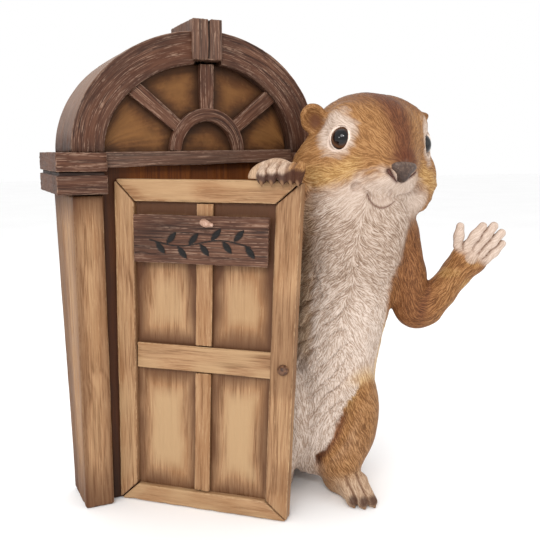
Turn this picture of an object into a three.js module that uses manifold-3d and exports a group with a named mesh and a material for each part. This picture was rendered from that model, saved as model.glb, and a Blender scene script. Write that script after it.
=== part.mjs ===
// A squirrel leaning out from behind a small arched door: a painted cast garden statue.
// Millimetres, +Z up. +X runs across the doorway, -Y is the front, the statue stands on Z = 0.

import * as THREE from "three";
import { mergeVertices } from "three/addons/utils/BufferGeometryUtils.js";
import Module from "manifold-3d";

const wasm = await Module();
wasm.setup();

// Fits
const SEAT_GAP = 0.3; // between two bonded faces
const MITRE_GAP = 0.45; // measured upright, between a door rail and a door stile

// Door surround
const DOORWAY_WIDTH = 136;
const CASE_DEPTH = 72;
const FOOT_DEPTH = 38; // of the case where it stands: its back leans in below the capitals
const JAMB_WIDTH = 20;
const CAPITAL_BLOCK_HEIGHT = 12.7;
const CAPITAL_GROOVE = 2;
const CAPITAL_GROOVE_DEPTH = 2.5;
const CAPITAL_OVERHANG = 10.5; // past the jamb's outer side
const CAPITAL_PROUD = 6; // past the jamb, at the front and at the back
const LINTEL_HEIGHT = 10.5;
const LINTEL_DEPTH = 22;
const DOORWAY_PANEL_SETBACK = 8;
const DOORWAY_PANEL_THICKNESS = 6;
const REAR_PANEL_THICKNESS = 6;

// Arch and fanlight
const CROWN_OFFSET = 4.5; // of the arch's crown, right of the doorway's middle
const ARCH_RISE = 79.5;
const ARCH_WIDTH = 22;
const KEYSTONE_WIDTH = 19.5;
const KEYSTONE_HEIGHT = 27;
const KEYSTONE_RISE = 7.2; // above the arch
const KEYSTONE_PROUD = 3; // in front of the arch
const KEYSTONE_DEPTH = 50;
const KEYSTONE_CRACK_WIDTH = 1.2;
const KEYSTONE_CRACK_DEPTH = 2.5;
const KEYSTONE_CRACK_OFFSET = 2.5;
const FAN_SETBACK = 9;
const FAN_THICKNESS = 6;
const HUB_RADIUS = 27;
const HUB_WIDTH = 8.8;
const SPOKE_WIDTH = 9;
const SPOKE_SETBACK = 2;
const SIDE_SPOKE_ANGLE = 39;

// Door leaf, standing ajar
const DOOR_ANGLE = 41;
const DOOR_FREE_GAP = 5.8; // between the free edge and its jamb, with the door shut
const DOOR_HEIGHT = 224.5;
const DOOR_HEADROOM = 6.7; // from the door up to the lintel
const DOOR_THICKNESS = 10;
const HINGE_INSET = 6.2; // from the jamb
const HINGE_SETBACK = 6.5; // behind the front of the jambs
const STILE_WIDTH = 14;
const TOP_RAIL_HEIGHT = 15;
const BOTTOM_RAIL_HEIGHT = 13;
const MID_RAIL_HEIGHT = 18;
const MID_RAIL_BASE = 97;
const MID_RAIL_SETBACK = 0.5;
const MUNTIN_WIDTH = 11.5;
const MUNTIN_SETBACK = 1.2;
const MUNTIN_OFFSET = 2; // of the muntins, from the middle of the door
const PANEL_SETBACK = 4;
const PANEL_THICKNESS = 4;
const PANEL_TONGUE = 2.5;

// Sign, nail and knob
const SIGN_SIDE_GAP = 1.75; // from each stile
const SIGN_HEIGHT = 32;
const SIGN_THICKNESS = 4.2;
const SIGN_DROP = 7.5; // below the top rail
const NAIL_RADIUS = 1.7;
const NAIL_LENGTH = 7; // the part in front of the sign
const NAIL_DROP = 5; // below the sign's upper edge
const NAIL_OFFSET = 2; // from the muntins' middle
const KNOB_RADIUS = 3.5;
const KNOB_LENGTH = 4.5;
const KNOB_SPIGOT_RADIUS = 1.6;
const KNOB_SPIGOT_LENGTH = 3;
const KNOB_HEIGHT = 104.4;

// Squirrel
const BODY_TURN = 24; // towards the statue's left
const BODY_REACH = 32; // of the body's middle, in front of the jambs
const BODY_OUTSET = 8; // of the body's middle, past the jamb's outer side
const TORSO_HEIGHT = 214;
const HIP_HALF_WIDTH = 34;
const CHEST_HALF_WIDTH = 35;
const NECK_HALF_WIDTH = 34;
const TORSO_HALF_DEPTH = 29;
const BODY_LEAN = 22; // of the neck to the side, past the hips
const HIP_OFFSET = 14; // of the hips, from the body's middle towards the door
const HIP_SPREAD = 22; // of each thigh, from the hips' middle
const HEAD_TURN = 26;
const HEAD_TILT = 4.4;
const HEAD_LIFT = 26; // of the head's middle, above the torso
const HEAD_REACH = 12; // of the head's middle, in front of the body's
const SKULL_HALF_WIDTH = 46;
const SKULL_HALF_LENGTH = 42;
const SKULL_HALF_HEIGHT = 34;
const SKULL_RISE = 7; // of the skull's middle, above the head's
const CHEEK_HALF_WIDTH = 23;
const CHEEK_HALF_LENGTH = 27;
const CHEEK_HALF_HEIGHT = 22;
const CHEEK_SPREAD = 30.5;
const CHEEK_DROP = 13;
const MUZZLE_HALF_WIDTH = 21;
const MUZZLE_HALF_HEIGHT = 17;
const MUZZLE_DEPTH = 19;
const MUZZLE_LENGTH = 49; // from the head's middle
const MUZZLE_DROP = 13;
const CHIN_HALF_WIDTH = 15;
const CHIN_HALF_HEIGHT = 11;
const BRIDGE_RADIUS = 17; // of the ridge from the brow to the nose, at the brow
const EYE_RADIUS = 8.6;
const EYE_TURN = 59.5; // from straight ahead
const EYE_SINK = 5.3; // of the eye's middle, below the skull's surface
const NOSE_HALF_WIDTH = 8;
const NOSE_HALF_HEIGHT = 5.8;
const NOSE_DEPTH = 6;
const NOSE_RISE = 4; // above the muzzle's middle
const EAR_HALF_HEIGHT = 11;
const EAR_HALF_WIDTH = 10;
const EAR_THICKNESS = 5;
const EAR_RIM = 2.5;
const EAR_TURN = 94; // from straight ahead
const EAR_PITCH = 17.5; // above level
const EAR_SINK = 1.2;
const SHOULDER_DROP = 28; // below the top of the torso
const UPPER_ARM_LENGTH = 56;
const FOREARM_REACH = 33; // to the side
const FOREARM_RISE = 37;
const ELBOW_RADIUS = 14;
const UPPER_ARM_RADIUS = 11.5;
const WRIST_RADIUS = 10;
const PALM_HALF_WIDTH = 13;
const PALM_HALF_DEPTH = 6.5;
const FINGER_RADIUS = 3.1;
const CLAW_LAP = 4; // of the gripping claws, over the door's front
const GRIP_HALF_WIDTH = 14.5;
const GRIP_HALF_HEIGHT = 9;
const THIGH_HALF_WIDTH = 16;
const THIGH_HALF_HEIGHT = 31;
const THIGH_HEIGHT = 57; // of the thigh's middle
const SHIN_RADIUS = 14;
const ANKLE_RADIUS = 12.5;
const ANKLE_HEIGHT = 18;
const ANKLE_INSET = 9; // towards the door, from the thigh
const FOOT_LENGTH = 26; // from the ankle to the toes
const FOOT_HALF_WIDTH = 11.5;
const TOE_RADIUS = 3.4;
const TAIL_RADIUS = 14;
const TAIL_HEIGHT = 150;
const NECK_DOWEL_RADIUS = 4;
const SHOULDER_DOWEL_RADIUS = 2.5;
const DOWEL_HOLD = 16; // length held in each piece

// Places that follow from the sizes
const doorwayHalf = DOORWAY_WIDTH / 2;
const caseHalf = doorwayHalf + JAMB_WIDTH;
const lintelBase = DOOR_HEIGHT + DOOR_HEADROOM;
const capitalTop = lintelBase + LINTEL_HEIGHT;
const upperCapitalBase = capitalTop - CAPITAL_BLOCK_HEIGHT;
const lowerCapitalBase = upperCapitalBase - CAPITAL_GROOVE - CAPITAL_BLOCK_HEIGHT;
const jambHeight = lowerCapitalBase - SEAT_GAP;
const springLine = capitalTop + SEAT_GAP;
// From the arch's crown to its left (-1) or right (1) foot.
const archSpan = (side) => caseHalf - side * CROWN_OFFSET;
const archInnerRise = ARCH_RISE - ARCH_WIDTH;
const doorWidth = DOORWAY_WIDTH - HINGE_INSET - DOOR_FREE_GAP;
const railTop = DOOR_HEIGHT - TOP_RAIL_HEIGHT;
const innerEdge = doorWidth - STILE_WIDTH;
const signWidth = innerEdge - STILE_WIDTH - 2 * SIGN_SIDE_GAP;
const signBase = railTop - SIGN_DROP - SIGN_HEIGHT;
const hipX = -HIP_OFFSET;
const neckX = hipX + BODY_LEAN;
const neckY = -TORSO_HALF_DEPTH * 0.31;
const chestX = hipX + BODY_LEAN * 0.77;
const headHeight = TORSO_HEIGHT + HEAD_LIFT;
const degrees = THREE.MathUtils.degToRad;
const vec = (x, y, z) => new THREE.Vector3(x, y, z);

// Paints
const paint = (color, roughness, metalness = 0) => ({ color, roughness, metalness });
const DARK_WOOD = paint(0x5e4538, 0.6);
const LIGHT_WOOD = paint(0xb98c58, 0.55);
const RECESS_BROWN = paint(0x6d4526, 0.6);
const FAN_OCHRE = paint(0xa0713c, 0.55);
const BROWN_FUR = paint(0xa8703f, 0.6);
const CREAM_FUR = paint(0xd9c4a6, 0.6);
const EYE_BLACK = paint(0x0c0a09, 0.08);
const NOSE_BROWN = paint(0x4f4038, 0.4);
const NAIL_TAN = paint(0xc9ab80, 0.5);
const KNOB_BROWN = paint(0x4a2f1f, 0.4);
const DOWEL_STEEL = paint(0x9a9da1, 0.35, 1);

// Solids
function solid(geometry) {
  const plain = geometry.index ? geometry.toNonIndexed() : geometry;
  const bare = new THREE.BufferGeometry().setAttribute("position", plain.getAttribute("position"));
  const merged = mergeVertices(bare, 1e-4);
  const mesh = new wasm.Mesh({
    numProp: 3,
    vertProperties: merged.attributes.position.array,
    triVerts: new Uint32Array(merged.index.array),
  });
  return new wasm.Manifold(mesh);
}

function geometryOf(body) {
  const mesh = body.getMesh();
  const geometry = new THREE.BufferGeometry();
  geometry.setAttribute("position", new THREE.BufferAttribute(mesh.vertProperties, 3));
  geometry.setIndex(new THREE.BufferAttribute(mesh.triVerts, 1));
  return geometry;
}

function joined(geometries) {
  return geometries.map(solid).reduce((whole, piece) => whole.add(piece));
}

function without(body, cutters) {
  return cutters.map(solid).reduce((rest, cutter) => rest.subtract(cutter), body);
}

function add(group, name, body, finish) {
  const geometry = body.isBufferGeometry ? body : geometryOf(body);
  if (!geometry.getAttribute("normal")) geometry.computeVertexNormals();
  const mesh = new THREE.Mesh(geometry, new THREE.MeshStandardMaterial(finish));
  mesh.name = name;
  group.add(mesh);
}

// A block between two opposite corners.
function block(x0, x1, y0, y1, z0, z1) {
  const geometry = new THREE.BoxGeometry(x1 - x0, y1 - y0, z1 - z0);
  return geometry.translate((x0 + x1) / 2, (y0 + y1) / 2, (z0 + z1) / 2);
}

// An outline in the XZ plane, made solid from the front to the back.
function slab(outline, front, back, curveSegments = 16) {
  const geometry = new THREE.ExtrudeGeometry(outline, {
    depth: back - front,
    bevelEnabled: false,
    curveSegments,
  });
  return geometry.rotateX(Math.PI / 2).translate(0, back, 0);
}

function polygon(points) {
  return new THREE.Shape(points.map(([x, z]) => new THREE.Vector2(x, z)));
}

function ellipsoid(centre, radii, grow = 0, around = 16, down = 10) {
  const geometry = new THREE.SphereGeometry(1, around, down).rotateX(Math.PI / 2);
  geometry.scale(radii.x + grow, radii.y + grow, radii.z + grow);
  return geometry.translate(centre.x, centre.y, centre.z);
}

// A round bar between two points, with round or flat ends.
function bar(from, to, radius, round = true, sides = 8) {
  const run = to.clone().sub(from);
  const geometry = round
    ? new THREE.CapsuleGeometry(radius, run.length(), 2, sides)
    : new THREE.CylinderGeometry(radius, radius, run.length(), sides);
  const turn = new THREE.Quaternion().setFromUnitVectors(vec(0, 1, 0), run.clone().normalize());
  const middle = from.clone().add(to).multiplyScalar(0.5);
  return geometry.applyQuaternion(turn).translate(middle.x, middle.y, middle.z);
}

// A closed skin over rings of points, with a point at each end.
function skin(rings, first, last) {
  const sides = rings[0].length;
  const points = [first, ...rings.flat(), last];
  const corners = [];
  for (let i = 0; i < sides; i += 1) {
    const next = (i + 1) % sides;
    corners.push(0, 1 + next, 1 + i);
    for (let ring = 0; ring + 1 < rings.length; ring += 1) {
      const a = 1 + ring * sides;
      const b = a + sides;
      corners.push(a + i, a + next, b + next, a + i, b + next, b + i);
    }
    const top = 1 + (rings.length - 1) * sides;
    corners.push(points.length - 1, top + i, top + next);
  }
  const geometry = new THREE.BufferGeometry().setFromPoints(points);
  return geometry.setIndex(corners);
}

// A value read off a list that is spread evenly over 0 to 1, eased between its entries.
function along(list, t) {
  const at = t * (list.length - 1);
  const low = Math.min(Math.floor(at), list.length - 2);
  return THREE.MathUtils.lerp(list[low], list[low + 1], THREE.MathUtils.smoothstep(at - low, 0, 1));
}

// A limb along a curve, with a radius given at each point of it and round ends.
function limb(points, radii, grow = 0, sides = 10, steps = 6) {
  const curve = new THREE.CatmullRomCurve3(points, false, "centripetal");
  const frames = curve.computeFrenetFrames(steps, false);
  const caps = [0.9, 0.5];
  const rings = [];
  const ring = (step, shift, scale) => {
    const t = step / steps;
    const radius = along(radii, t) + grow;
    const centre = curve.getPoint(t).addScaledVector(frames.tangents[step], shift * radius);
    const points = [];
    for (let side = 0; side < sides; side += 1) {
      const angle = (2 * Math.PI * side) / sides;
      const point = centre.clone();
      point.addScaledVector(frames.normals[step], radius * scale * Math.cos(angle));
      point.addScaledVector(frames.binormals[step], radius * scale * Math.sin(angle));
      points.push(point);
    }
    rings.push(points);
  };
  caps.forEach((cap) => ring(0, -cap, Math.sqrt(1 - cap * cap)));
  for (let step = 0; step <= steps; step += 1) ring(step, 0, 1);
  caps.toReversed().forEach((cap) => ring(steps, cap, Math.sqrt(1 - cap * cap)));
  const first = points[0].clone().addScaledVector(frames.tangents[0], -radii[0] - grow);
  const last = points.at(-1).clone().addScaledVector(frames.tangents[steps], radii.at(-1) + grow);
  return skin(rings, first, last);
}

// The whole statue and its three groups
const statue = new THREE.Group();
const surround = new THREE.Group();
const door = new THREE.Group();
const squirrel = new THREE.Group();
const head = new THREE.Group();
statue.add(surround, door, squirrel);
squirrel.add(head);
door.position.set(-doorwayHalf + HINGE_INSET, HINGE_SETBACK, 0);
door.rotation.z = -degrees(DOOR_ANGLE);
squirrel.position.set(caseHalf + BODY_OUTSET, -BODY_REACH, 0);
squirrel.rotation.z = -degrees(BODY_TURN);
head.position.set(neckX, -HEAD_REACH, headHeight);
head.rotation.set(0, degrees(HEAD_TILT), degrees(HEAD_TURN), "ZYX");
statue.updateMatrixWorld(true);

// A shape of one group, in the coordinates of another.
function moved(geometry, from, to) {
  const change = to.matrixWorld.clone().invert().multiply(from.matrixWorld);
  return geometry.clone().applyMatrix4(change);
}

function point(place, from, to) {
  return to.worldToLocal(from.localToWorld(place.clone()));
}

// Brings the foot of a shape forward, behind the case's front, so that its back leans in.
function leaning(geometry) {
  const places = geometry.getAttribute("position");
  for (let i = 0; i < places.count; i += 1) {
    const y = places.getY(i);
    if (places.getZ(i) < SEAT_GAP && y > SEAT_GAP) places.setY(i, y - CASE_DEPTH + FOOT_DEPTH);
  }
  return geometry;
}

// Jambs and capitals, left and right
function jamb(side) {
  const edges = [side * doorwayHalf, side * caseHalf].sort((a, b) => a - b);
  return leaning(block(edges[0], edges[1], 0, CASE_DEPTH, 0, jambHeight));
}

function capital(side, base, inset, height, grow = 0) {
  const edges = [side * doorwayHalf, side * (caseHalf + CAPITAL_OVERHANG)].sort((a, b) => a - b);
  return block(
    edges[0] + inset - grow,
    edges[1] - inset + grow,
    inset - CAPITAL_PROUD - grow,
    CASE_DEPTH + CAPITAL_PROUD - inset + grow,
    base - grow,
    base + height + grow,
  );
}

for (const [label, side] of [["left", -1], ["right", 1]]) {
  add(surround, `${label}_jamb`, jamb(side), LIGHT_WOOD);
  const neckHeight = CAPITAL_BLOCK_HEIGHT + CAPITAL_GROOVE - SEAT_GAP;
  const lower = joined([
    capital(side, lowerCapitalBase, 0, CAPITAL_BLOCK_HEIGHT),
    capital(side, lowerCapitalBase, CAPITAL_GROOVE_DEPTH, neckHeight),
  ]);
  add(surround, `${label}_capital_lower`, lower, DARK_WOOD);
  const upper = capital(side, upperCapitalBase, 0, CAPITAL_BLOCK_HEIGHT);
  add(surround, `${label}_capital_upper`, upper, DARK_WOOD);
}

// Lintel and the panel behind the door
const panelHalf = doorwayHalf - SEAT_GAP;
const lintel = block(-panelHalf, panelHalf, 0, LINTEL_DEPTH, lintelBase, capitalTop);
add(surround, "lintel", lintel, DARK_WOOD);
const doorwayPanelBack = DOORWAY_PANEL_SETBACK + DOORWAY_PANEL_THICKNESS;
const doorwayPanel = block(
  -panelHalf,
  panelHalf,
  DOORWAY_PANEL_SETBACK,
  doorwayPanelBack,
  0,
  lintelBase - SEAT_GAP,
);
add(surround, "doorway_panel", doorwayPanel, RECESS_BROWN);

// The curve that fits inside the arch, from its right foot to its left one.
const fanSpan = (side) => archSpan(side) - ARCH_WIDTH - SEAT_GAP;
const fanRise = archInnerRise - SEAT_GAP;
const fanLeft = CROWN_OFFSET - fanSpan(-1);
const fanRight = CROWN_OFFSET + fanSpan(1);
function addFanCurve(outline) {
  const crown = Math.PI / 2;
  outline.absellipse(CROWN_OFFSET, springLine, fanSpan(1), fanRise, 0, crown, false);
  outline.absellipse(CROWN_OFFSET, springLine, fanSpan(-1), fanRise, crown, Math.PI, false);
}

// The rear panel stands upright inside the arch and leans between the jambs.
const rearOutline = polygon([
  [fanLeft, springLine],
  [fanLeft, capitalTop],
  [fanRight, capitalTop],
  [fanRight, springLine],
]);
addFanCurve(rearOutline);
const rearFront = CASE_DEPTH - REAR_PANEL_THICKNESS;
const rearUpper = slab(rearOutline, rearFront, CASE_DEPTH);
const rearLower = leaning(block(-panelHalf, panelHalf, rearFront, CASE_DEPTH, 0, capitalTop));
add(surround, "rear_panel", joined([rearUpper, rearLower]), LIGHT_WOOD);

const fanOutline = new THREE.Shape();
addFanCurve(fanOutline);
const fanPanel = slab(fanOutline, FAN_SETBACK, FAN_SETBACK + FAN_THICKNESS);
add(surround, "fanlight_panel", fanPanel, FAN_OCHRE);

// Arch in two halves, with the keystone let into their crown
const archTop = springLine + ARCH_RISE;
const keystoneTop = archTop + KEYSTONE_RISE;
const keystoneBack = KEYSTONE_DEPTH - KEYSTONE_PROUD;
function keystone(grow = 0) {
  const half = KEYSTONE_WIDTH / 2 + grow;
  return block(
    CROWN_OFFSET - half,
    CROWN_OFFSET + half,
    -KEYSTONE_PROUD - grow,
    keystoneBack + grow,
    keystoneTop - KEYSTONE_HEIGHT - grow,
    keystoneTop + grow,
  );
}

for (const [label, side] of [["left", -1], ["right", 1]]) {
  const start = side < 0 ? Math.PI : 0;
  const crown = Math.PI / 2;
  const outline = new THREE.Shape();
  const seam = CROWN_OFFSET + (side * SEAT_GAP) / 2;
  const outer = archSpan(side) - SEAT_GAP / 2;
  outline.absellipse(seam, springLine, outer, ARCH_RISE, start, crown, side < 0);
  outline.absellipse(seam, springLine, outer - ARCH_WIDTH, archInnerRise, crown, start, side > 0);
  const half = without(solid(slab(outline, 0, CASE_DEPTH)), [keystone(SEAT_GAP)]);
  add(surround, `arch_${label}`, half, DARK_WOOD);
}

const crackMiddle = CROWN_OFFSET + KEYSTONE_CRACK_OFFSET;
const crack = block(
  crackMiddle - KEYSTONE_CRACK_WIDTH / 2,
  crackMiddle + KEYSTONE_CRACK_WIDTH / 2,
  -KEYSTONE_PROUD - 1,
  KEYSTONE_CRACK_DEPTH - KEYSTONE_PROUD,
  keystoneTop - KEYSTONE_HEIGHT - 1,
  keystoneTop + 1,
);
add(surround, "keystone", without(solid(keystone()), [crack]), DARK_WOOD);

// Fanlight hub and its three spokes
const glazingBack = FAN_SETBACK - SEAT_GAP;
const hubOutline = new THREE.Shape();
hubOutline.absarc(CROWN_OFFSET, springLine, HUB_RADIUS, 0, Math.PI, false);
hubOutline.absarc(CROWN_OFFSET, springLine, HUB_RADIUS - HUB_WIDTH, Math.PI, 0, true);
add(surround, "fanlight_hub", slab(hubOutline, SPOKE_SETBACK, glazingBack), DARK_WOOD);

// How far a line beside the middle of the hub runs before it meets the arch.
function reach(direction, aside) {
  const sideways = new THREE.Vector2(-direction.y, direction.x).multiplyScalar(aside);
  const side = direction.x * HUB_RADIUS + sideways.x < 0 ? -1 : 1;
  const scale = new THREE.Vector2(1 / fanSpan(side), 1 / fanRise);
  const run = direction.clone().multiply(scale);
  const start = sideways.clone().multiply(scale);
  const a = run.dot(run);
  const b = run.dot(start);
  const c = start.dot(start) - 1;
  return (-b + Math.sqrt(b * b - a * c)) / a;
}

function spoke(angle) {
  const direction = new THREE.Vector2(Math.cos(angle), Math.sin(angle));
  const near = HUB_RADIUS + SEAT_GAP;
  const corner = (distance, aside) => [
    CROWN_OFFSET + direction.x * distance - direction.y * aside,
    springLine + direction.y * distance + direction.x * aside,
  ];
  const half = SPOKE_WIDTH / 2;
  const outline = polygon([
    corner(near, -half),
    corner(reach(direction, -half) - SEAT_GAP, -half),
    corner(reach(direction, 0) - SEAT_GAP, 0),
    corner(reach(direction, half) - SEAT_GAP, half),
    corner(near, half),
  ]);
  return slab(outline, SPOKE_SETBACK, glazingBack);
}
add(surround, "spoke_left", spoke(Math.PI - degrees(SIDE_SPOKE_ANGLE)), DARK_WOOD);
add(surround, "spoke_centre", spoke(Math.PI / 2), DARK_WOOD);
add(surround, "spoke_right", spoke(degrees(SIDE_SPOKE_ANGLE)), DARK_WOOD);

// Door leaf: a mitred frame round one panel, its hinge edge cut to lie flat on the doorway panel
function doorPanel(grow = 0) {
  return block(
    STILE_WIDTH - PANEL_TONGUE - grow,
    doorWidth - STILE_WIDTH + PANEL_TONGUE + grow,
    PANEL_SETBACK - grow,
    PANEL_SETBACK + PANEL_THICKNESS + grow,
    BOTTOM_RAIL_HEIGHT - PANEL_TONGUE - grow,
    DOOR_HEIGHT - TOP_RAIL_HEIGHT + PANEL_TONGUE + grow,
  );
}
const hingeSeat = block(
  -caseHalf,
  caseHalf,
  DOORWAY_PANEL_SETBACK - SEAT_GAP,
  CASE_DEPTH,
  -1,
  DOOR_HEIGHT + 1,
);
const hingeCut = moved(hingeSeat, surround, door);

const nailX = doorWidth / 2 + MUNTIN_OFFSET + NAIL_OFFSET;
const nailZ = signBase + SIGN_HEIGHT - NAIL_DROP;
const knobX = doorWidth - STILE_WIDTH / 2;
const knobPlace = vec(knobX, 0, KNOB_HEIGHT);
const knobHoleEnd = vec(knobX, KNOB_SPIGOT_LENGTH + SEAT_GAP, KNOB_HEIGHT);
const knobHole = bar(knobPlace.clone().setY(-1), knobHoleEnd, KNOB_SPIGOT_RADIUS + SEAT_GAP, false);

const framePieces = {
  door_stile_hinge: [
    [0, MITRE_GAP],
    [STILE_WIDTH, BOTTOM_RAIL_HEIGHT + MITRE_GAP],
    [STILE_WIDTH, railTop - MITRE_GAP],
    [0, DOOR_HEIGHT - MITRE_GAP],
  ],
  door_stile_free: [
    [innerEdge, BOTTOM_RAIL_HEIGHT + MITRE_GAP],
    [doorWidth, MITRE_GAP],
    [doorWidth, DOOR_HEIGHT - MITRE_GAP],
    [innerEdge, railTop - MITRE_GAP],
  ],
  door_rail_top: [
    [STILE_WIDTH, railTop],
    [innerEdge, railTop],
    [doorWidth, DOOR_HEIGHT],
    [0, DOOR_HEIGHT],
  ],
  door_rail_bottom: [
    [0, 0],
    [doorWidth, 0],
    [innerEdge, BOTTOM_RAIL_HEIGHT],
    [STILE_WIDTH, BOTTOM_RAIL_HEIGHT],
  ],
};
for (const [name, outline] of Object.entries(framePieces)) {
  const piece = solid(slab(polygon(outline), 0, DOOR_THICKNESS));
  const cutters = [doorPanel(SEAT_GAP), hingeCut];
  if (name === "door_stile_free") cutters.push(knobHole);
  add(door, name, without(piece, cutters), LIGHT_WOOD);
}
add(door, "door_panel", doorPanel(), LIGHT_WOOD);

const barBack = PANEL_SETBACK - SEAT_GAP;
const midRailTop = MID_RAIL_BASE + MID_RAIL_HEIGHT;
const midRail = block(
  STILE_WIDTH + SEAT_GAP,
  innerEdge - SEAT_GAP,
  MID_RAIL_SETBACK,
  barBack,
  MID_RAIL_BASE,
  midRailTop,
);
add(door, "door_mid_rail", midRail, LIGHT_WOOD);

const muntinMiddle = doorWidth / 2 + MUNTIN_OFFSET;
function muntin(base, top) {
  const half = MUNTIN_WIDTH / 2;
  return block(muntinMiddle - half, muntinMiddle + half, MUNTIN_SETBACK, barBack, base, top);
}
const signBack = MUNTIN_SETBACK - SEAT_GAP;
const signFront = signBack - SIGN_THICKNESS;
const nailRoot = vec(nailX, barBack, nailZ);
const nailFace = vec(nailX, signFront, nailZ);
const nailHole = bar(
  nailFace.clone().setY(signFront - 1),
  nailRoot.clone().setY(barBack + 1),
  NAIL_RADIUS + SEAT_GAP,
  false,
);
const upperMuntin = solid(muntin(midRailTop + SEAT_GAP, railTop - SEAT_GAP));
add(door, "door_muntin_upper", without(upperMuntin, [nailHole]), LIGHT_WOOD);
const lowerMuntin = muntin(BOTTOM_RAIL_HEIGHT + SEAT_GAP, MID_RAIL_BASE - SEAT_GAP);
add(door, "door_muntin_lower", lowerMuntin, LIGHT_WOOD);

// Sign hung on a bent nail, and the door knob
const signMiddle = doorWidth / 2;
const sign = block(
  signMiddle - signWidth / 2,
  signMiddle + signWidth / 2,
  signFront,
  signBack,
  signBase,
  signBase + SIGN_HEIGHT,
);
add(door, "sign_board", without(solid(sign), [nailHole]), DARK_WOOD);

const nailPath = [
  nailRoot.clone().setY(barBack - NAIL_RADIUS),
  nailFace.clone().setY(signFront - 1),
  nailFace.clone().add(vec(NAIL_LENGTH * 0.35, -NAIL_LENGTH * 0.45, 0.2)),
  nailFace.clone().add(vec(NAIL_LENGTH, -NAIL_LENGTH * 0.55, -0.3)),
];
add(door, "sign_nail", limb(nailPath, [NAIL_RADIUS, NAIL_RADIUS, NAIL_RADIUS], 0, 8, 8), NAIL_TAN);

const knobProfile = [
  [0, -KNOB_SPIGOT_LENGTH],
  [KNOB_SPIGOT_RADIUS, -KNOB_SPIGOT_LENGTH],
  [KNOB_SPIGOT_RADIUS, SEAT_GAP],
  [KNOB_RADIUS * 0.75, SEAT_GAP],
  [KNOB_RADIUS, KNOB_LENGTH * 0.4],
  [KNOB_RADIUS * 0.85, KNOB_LENGTH * 0.75],
  [KNOB_RADIUS * 0.45, KNOB_LENGTH * 0.97],
  [0, KNOB_LENGTH],
];
const knob = new THREE.LatheGeometry(knobProfile.map(([r, h]) => new THREE.Vector2(r, h)), 16);
knob.rotateX(Math.PI).translate(knobPlace.x, knobPlace.y, knobPlace.z);
add(door, "door_knob", knob, KNOB_BROWN);

// What the squirrel's pieces keep clear of, in the surround and the door
function clearOfSurround(group) {
  const edge = caseHalf + SEAT_GAP;
  const capitalHeight = capitalTop - lowerCapitalBase;
  const shapes = [
    block(-edge, edge, -SEAT_GAP, CASE_DEPTH + SEAT_GAP, -1, archTop),
    capital(1, lowerCapitalBase, 0, capitalHeight, SEAT_GAP),
  ];
  return shapes.map((shape) => moved(shape, surround, group));
}

function clearOfDoor(group) {
  const leaf = block(
    -1,
    doorWidth + SEAT_GAP,
    -SEAT_GAP,
    DOOR_THICKNESS + SEAT_GAP,
    -1,
    DOOR_HEIGHT + SEAT_GAP,
  );
  return moved(leaf, door, group);
}
const floorReach = TORSO_HEIGHT * 1.5;
const belowFloor = block(-floorReach, floorReach, -floorReach, floorReach, -ANKLE_HEIGHT * 3, 0);

// Torso: level ovals from the rump to the neck, each with its height as a share of the torso's,
// how far it leans and stands forward, and its half width and half depth
const torsoOvals = [
  [0.025, -0.09, 0, HIP_HALF_WIDTH * 0.45, TORSO_HALF_DEPTH * 0.45],
  [0.05, -0.09, 0, HIP_HALF_WIDTH * 0.72, TORSO_HALF_DEPTH * 0.72],
  [0.11, -0.05, 0.03, HIP_HALF_WIDTH * 0.92, TORSO_HALF_DEPTH * 0.92],
  [0.22, 0, 0.1, HIP_HALF_WIDTH, TORSO_HALF_DEPTH],
  [0.4, 0.09, 0.14, HIP_HALF_WIDTH, TORSO_HALF_DEPTH],
  [0.56, 0.45, 0.17, CHEST_HALF_WIDTH, TORSO_HALF_DEPTH],
  [0.7, 0.64, 0.21, CHEST_HALF_WIDTH, TORSO_HALF_DEPTH],
  [0.84, 0.77, 0.28, CHEST_HALF_WIDTH, TORSO_HALF_DEPTH * 0.93],
  [0.94, 0.95, 0.31, NECK_HALF_WIDTH, TORSO_HALF_DEPTH * 0.9],
  [1, 1, 0.31, NECK_HALF_WIDTH * 0.75, TORSO_HALF_DEPTH * 0.6],
];
const torsoMiddle = ([height, lean, forward]) =>
  vec(hipX + lean * BODY_LEAN, -forward * TORSO_HALF_DEPTH, height * TORSO_HEIGHT);
function torso(grow = 0, sides = 24) {
  const rings = torsoOvals.map((oval, i) => {
    const [halfWidth, halfDepth] = oval.slice(3);
    const lift = i === 0 ? -grow : i === torsoOvals.length - 1 ? grow : 0;
    const points = [];
    for (let side = 0; side < sides; side += 1) {
      const angle = (2 * Math.PI * side) / sides;
      const across = (halfWidth + grow) * Math.cos(angle);
      const deep = (halfDepth + grow) * Math.sin(angle);
      points.push(torsoMiddle(oval).add(vec(across, deep, lift)));
    }
    return points;
  });
  const first = torsoMiddle(torsoOvals[0]).add(vec(0, 0, -grow));
  const last = torsoMiddle(torsoOvals.at(-1)).add(vec(0, 0, grow));
  return skin(rings, first, last);
}

// Head, in its own coordinates: the face looks along -Y
const skullCentre = vec(0, -SKULL_HALF_LENGTH * 0.05, SKULL_RISE);
const skullRadii = vec(SKULL_HALF_WIDTH, SKULL_HALF_LENGTH, SKULL_HALF_HEIGHT);
const cheekRadii = vec(CHEEK_HALF_WIDTH, CHEEK_HALF_LENGTH, CHEEK_HALF_HEIGHT);
const muzzleRadii = vec(MUZZLE_HALF_WIDTH, MUZZLE_DEPTH, MUZZLE_HALF_HEIGHT);
const muzzleCentre = vec(0, MUZZLE_DEPTH - MUZZLE_LENGTH, -MUZZLE_DROP);
const chinRadii = vec(CHIN_HALF_WIDTH, CHIN_HALF_WIDTH * 0.93, CHIN_HALF_HEIGHT);
const chinCentre = muzzleCentre.clone().add(vec(0, CHIN_HALF_WIDTH * 0.27, -CHIN_HALF_HEIGHT * 1.18));
const noseRadii = vec(NOSE_HALF_WIDTH, NOSE_DEPTH, NOSE_HALF_HEIGHT);
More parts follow.
